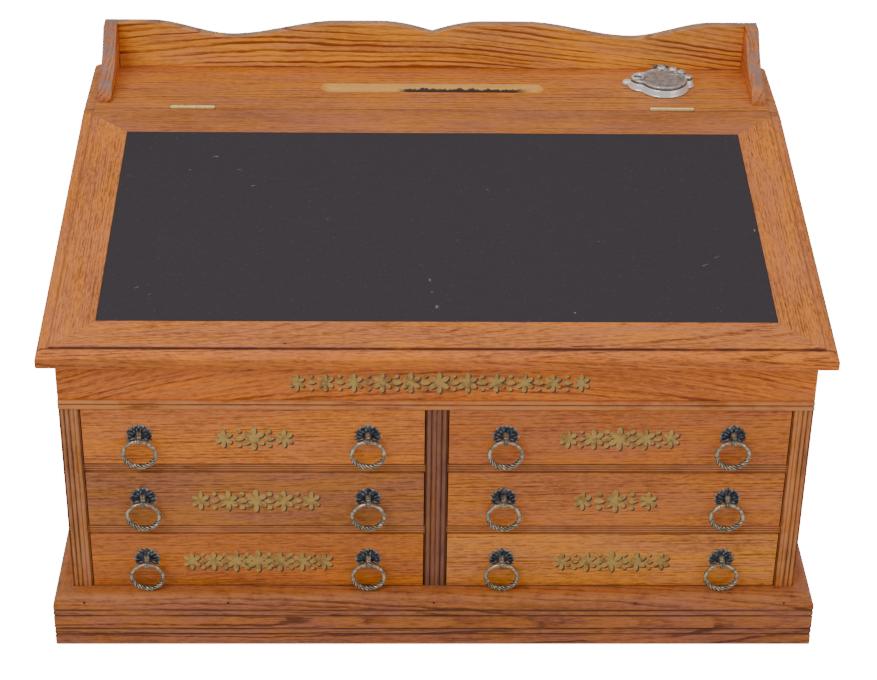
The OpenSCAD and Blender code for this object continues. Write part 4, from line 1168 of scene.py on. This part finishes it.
def cover_height(x, y):
    """Height over the cover's underside."""
    inside = -cartouche(x, y) - COVER_IN
    border = BORDER_T - (BORDER_T - PLATE_T) * step(inside, 2.4, BORDER_W)
    border -= 0.5 * np.exp(-((inside - 2.2) / 0.35) ** 2)
    border -= 1.1 * (1 - step(inside, 0.0, 0.7))
    fan = np.arctan2(y - 12, x - 26)
    reach = np.hypot(x - 26, y - 12)
    border += 0.45 * np.cos(11 * fan) * step(reach, 4, 9) * (1 - step(reach, 15, 23)) * step(inside, 3.5, 6.5)
    for lobe in LOBES:
        out = lobe_reach(x, y, lobe)
        dome = BORDER_T - 1.0 + 2.4 * np.sqrt(np.clip(1 - out ** 2, 0, 1))
        border = np.where(out < 1, np.maximum(dome, border - 0.6), border)
    out = np.hypot(x - CURL[0], y - CURL[1])
    turn = np.arctan2(y - CURL[1], x - CURL[0])
    middle = 7.0 - 0.5 * np.mod(turn / (2 * math.pi), 1)
    curl = PLATE_T - 0.6 + 3.2 * np.sqrt(np.clip(1 - ((out - middle) / 1.9) ** 2, 0, 1))
    curl = np.maximum(curl, PLATE_T - 0.6 + 1.5 * np.sqrt(np.clip(1 - (out / 3.0) ** 2, 0, 1)))
    return np.where(out < CURL[2] - 0.8, curl, border)


def cover_shine(points):
    """Worn bright on the lobes, the curl and the border, and partly a painted highlight there."""
    x, y, z = (points - COVER_AT).T
    lobes = np.max([1 - lobe_reach(x, y, lobe) for lobe in LOBES], 0)
    curl = step(z - PLATE_T, 0.6, 1.4) * (np.hypot(x - CURL[0], y - CURL[1]) < CURL[2])
    return np.clip(np.maximum(step(lobes, 0.02, 0.2), curl) + 0.55 * step(z, PLATE_T + 0.7, BORDER_T), 0, 1)


def cover_grime(points):
    """Dark round the lobes and in the curl."""
    x, y, z = (points - COVER_AT).T
    ring = np.min([np.abs(lobe_reach(x, y, lobe) - 1.04) for lobe in LOBES], 0)
    curl = (np.hypot(x - CURL[0], y - CURL[1]) < CURL[2]) * step(PLATE_T + 0.5 - z, 0.0, 0.8)
    return np.clip(np.maximum(1 - ring / 0.12, curl), 0, 1) * 0.95


COVER_STEPS, COVER_ROWS = 360, 90
edge = outline(COVER_STEPS, COVER_IN)
loops = [at_height(edge * 0.96, 0.0), at_height(edge * 0.965, 0.6), at_height(edge * 0.998, 1.5)]
for share in np.linspace(1, 0.004, COVER_ROWS) ** 1.15:
    flat = edge * share
    loops.append(np.column_stack((flat, np.maximum(1.6, cover_height(flat[:, 0], flat[:, 1])))))
relief = skin(loops)
arm = skin([np.array([(x, 30, 0.2), (x, BARREL_Y - 1.2, 0.0), (x, BARREL_Y - 1.2, 1.9), (x, 30, 1.9)])
            for x in (-3.4, -3.0, 3.0, 3.4)])
cover = joined(relief, arm, moved(barrel(3.45, 1.08), (0, BARREL_Y, 1.0)))
made("inkwell_lid", moved(cover, COVER_AT), DULL_SILVER, "inkwell_cover", 50, "inkwell_cover",
     edge=cover_shine, hollow=cover_grime)
print("cover relief:", len(relief[0]), "points")

# %% [markdown]
# The well itself is pressed glass, a little green and not quite clear.

# %% The glass well
glass, tree, shader = new_material("well_glass")
clouding = noise(here(tree), 90.0, 3.0)
feed(shader, {"Transmission Weight": 1.0, "IOR": 1.5, "Roughness": ramp(clouding, 0.3, 0.7, 0.04, 0.2),
              "Base Color": blend(clouding, (0.86, 0.93, 0.9, 1), (0.7, 0.82, 0.8, 1))})
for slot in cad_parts["inkwell_glass"].material_slots:
    slot.material = glass
print("well:", glass.name)

# %% [markdown]
# ## Writing cloth
# The writing surface is black oilcloth, glued down and let into the frame. It is matt, has a fine
# weave that runs across, and pale scuffs from a century of pens and rulers. The weave is bump in
# the material, and the scuffs are thin flakes at the places where the cloth is worn.

# %% Oilcloth
CLOTH_UP, RAIL_UP = 19.1, 19.5


def on_lid(x, s, n):
    """A point of the lid's own frame: s runs up the slope, n is square to it."""
    c, w = math.cos(SLOPE), math.sin(SLOPE)
    return (x, LID_Y + s * c - n * w, LID_Z + s * w + n * c)


def oilcloth():
    material, tree, shader = new_material("oilcloth")
    place = here(tree)
    threads = noise(place * (60, 1100, 1100))
    warp = noise(place * (1100, 60, 60), 1.0, 1.0)
    clouds = noise(place, 7.0, 4.0, 0.6)
    dust = ramp(noise(place, 420.0), 0.66, 0.76)
    colour = blend(clouds * 0.6 + threads * 0.4, (0.03, 0.024, 0.029, 1), (0.06, 0.05, 0.058, 1))
    feed(shader, {"Base Color": blend(dust * 0.22, colour, (0.3, 0.28, 0.28, 1)),
                  "Roughness": ramp(clouds, 0.3, 0.7, 0.62, 0.74), "Specular IOR Level": 0.25})
    bumped(shader, threads + warp * 0.5, 0.4, 0.0002)
    return material


cloth = board("writing_cloth", "lid", oilcloth(), 0.4)
print("cloth:", [round(size / MM) for size in cloth.dimensions], "mm")

# %% [markdown]
# The scuffs are set out one by one, from the photograph, because where a cloth is worn tells how
# the desk was used. Each is a ragged flake, so thin that it reads as colour and not as a step.

# %% Scuffs on the cloth and marks on the lid
SCUFFS = (  # x, place up the slope, length, width, turn in degrees
    (-252.9, 365.5, 9, 2.2, 0), (-281, 338, 7, 1.2, 10), (-223.7, 338.7, 8, 1.2, -5), (-207, 306, 5, 3, 20),
    (-322, 113, 9, 2.4, 30), (-307, 101, 6, 1.5, 40), (-7.5, 127.7, 3, 9, 8), (-0.6, 79.7, 7, 8, 15),
    (-5.6, 106.2, 2, 6, 0), (145.8, 69.9, 4, 4, 0), (293.6, 157, 12, 1.4, 30), (308, 172, 9, 1.2, 35),
    (356, 223, 3, 8, 0), (-120, 240, 5, 0.9, 5), (60, 300, 6, 0.8, -10), (180, 200, 4, 0.9, 15))
SCUFF_SHIFT = 5
rng = random.Random(11)


def flake(x, s, long, wide, turn, thick=0.05, n=CLOTH_UP):
    """A ragged thin flake that lies on the lid."""
    c, w = math.cos(math.radians(turn)), math.sin(math.radians(turn))
    ragged = []
    for u, v in circle(0.5, 16):
        r = rng.uniform(0.35, 0.95)
        u, v = long * r * u, wide * r * v
        ragged.append((x + u * c - v * w, s + u * w + v * c))
    return skin([np.array([on_lid(px, ps, n + rise) for px, ps in ragged]) for rise in (-0.02, thick)])


CHALK, tree, shader = new_material("scuffed_cloth")
specks = ramp(noise(here(tree), 500.0, 3.0), 0.4, 0.6)
feed(shader, {"Base Color": blend(specks, (0.07, 0.06, 0.065, 1), (0.3, 0.28, 0.27, 1)), "Roughness": 0.8})
made("cloth_scuffs", joined(*[flake(x, s + SCUFF_SHIFT, *size) for x, s, *size in SCUFFS]), CHALK, "lid")
made("lid_plug", flake(x=-159.7, s=20.6, long=4.6, wide=3.2, turn=0, thick=0.04, n=RAIL_UP), DARK_IRON, "lid")
print("scuffs:", len(SCUFFS))

# %% [markdown]
# ## Gilding
# The frieze and the drawers carry gilt bands: flowers of six petals between tapered leaves and
# dots, each with a dark shadow painted at its lower right. Every band is one row of one motif,
# so one Geometry Nodes tree sets out all of them: count, pitch and how the size falls off from
# the middle are its inputs.

# %% Motifs
LEAF_THICK = 0.12


def plate(outline_points):
    """A flat motif that faces the front."""
    return skin([np.array([(x, y, z) for x, z in outline_points]) for y in (0.0, -LEAF_THICK)])


def flower(size, heart=0.3, petals=6):
    """A flower, taller than wide."""
    corners = []
    for i in range(petals * 12):
        a = 2 * math.pi * i / (petals * 12)
        r = size * (heart + (1 - heart) * abs(math.cos(a * petals / 2)) ** 0.9)
        corners.append((0.85 * r * math.sin(a), r * math.cos(a)))
    return plate(corners)


def willow(long, wide):
    """A tapered leaf that lies along the band."""
    top = [(long * (t - 0.5), wide / 2 * math.sin(math.pi * t) ** 0.8) for t in np.linspace(0.001, 0.999, 14)]
    return plate(top + [(x, -z) for x, z in reversed(top)])


def dot(radius):
    return plate(circle(radius, 20)[:, ::-1])


print("flower:", len(flower(1)[0]), "points")

# %% Geometry Nodes: a band of motifs
def from_the_middle(tree, given, index):
    """Places along a band: the copies stand a pitch apart, and shrink towards both ends."""
    middle = (given["Count"] - 1) / 2
    place = index - middle
    size = 1.0 - calc("ABSOLUTE", place) / calc("MAXIMUM", middle, 1) * given["Falloff"]
    return {"Position": xyz(tree, X=place * given["Pitch"]), "Scale": xyz(tree, X=size, Y=1.0, Z=size)}


BAND = copy_tree("gilt_band", {"Pitch": (FLOAT,), "Falloff": (FLOAT,)}, from_the_middle)
GILT = metal("gilding", (0.52, 0.33, 0.08), (0.3, 0.15, 0.04), (0.45, 0.65), 0.45, 160, 0.25)
SHADOW_PAINT = metal("shadow_paint", (0.05, 0.035, 0.03), (0.16, 0.07, 0.03), (0.6, 0.7), 0.4, 170, 0.0)
GILT_Y, SHADOW_Y, SHADOW_SHIFT = FRONT_Y - 0.07, FRONT_Y + 0.05, 1.5
SHRINK = 0.2


def gilt_band(name, body, x, z, high, wide, count):
    """A band of flowers, leaves and dots round a place on a front, with its painted shadow."""
    pitch = wide / count
    motifs = ((flower(high / 2), count), (willow(pitch * 0.42, high * 0.24), count - 1),
              (dot(high * 0.1), count - 1))
    flowers, leaves, dots = [
        copied(BAND, motif, Count=number, Pitch=pitch * MM, Falloff=SHRINK, Material=GILT)
        for motif, number in motifs]
    drawn = joined(flowers, leaves, *[moved(dots, (0, 0, rise)) for rise in (high * 0.3, -high * 0.3)])
    made(name + "_gilding", moved(drawn, (x, GILT_Y, z)), GILT, body)
    made(name + "_shadow", moved(drawn, (x + SHADOW_SHIFT, SHADOW_Y, z - SHADOW_SHIFT)), SHADOW_PAINT, body)


gilt_band("frieze", "root", x=1.5, z=335.9, high=27, wide=330, count=11)
DRAWER_BANDS = ((97, 3), (150, 5), (170, 7), (138, 5), (108, 3), (138, 5))  # width and flowers
for number, (wide, count) in enumerate(DRAWER_BANDS, 1):
    x, z = drawer_middle(number)
    gilt_band("drawer_%d" % number, "drawer_%d" % number, x, z - 1.3, 30, wide, count)
print("bands:", 1 + len(DRAWER_BANDS))

# %% [markdown]
# ## Floor
# The cabinet stands on a sweep of white paper. One large plane is enough, because the camera looks
# down and sees nothing else.

# %% White paper
PAPER_GLOW = 16.5
paper, tree, shader = new_material("white_paper")
seen = get(tree, "ShaderNodeLightPath", {}, "Is Camera Ray")
feed(shader, {"Base Color": (0.9, 0.9, 0.9, 1), "Roughness": 0.8, "Specular IOR Level": 0.1,
              "Emission Color": WHITE, "Emission Strength": seen * PAPER_GLOW})
mesh = bpy.data.meshes.new("floor")
mesh.from_pydata([(-6, -4, 0), (6, -4, 0), (6, 8, 0), (-6, 8, 0)], [], [(0, 1, 2, 3)])
mesh.materials.append(paper)
placed("floor", mesh)
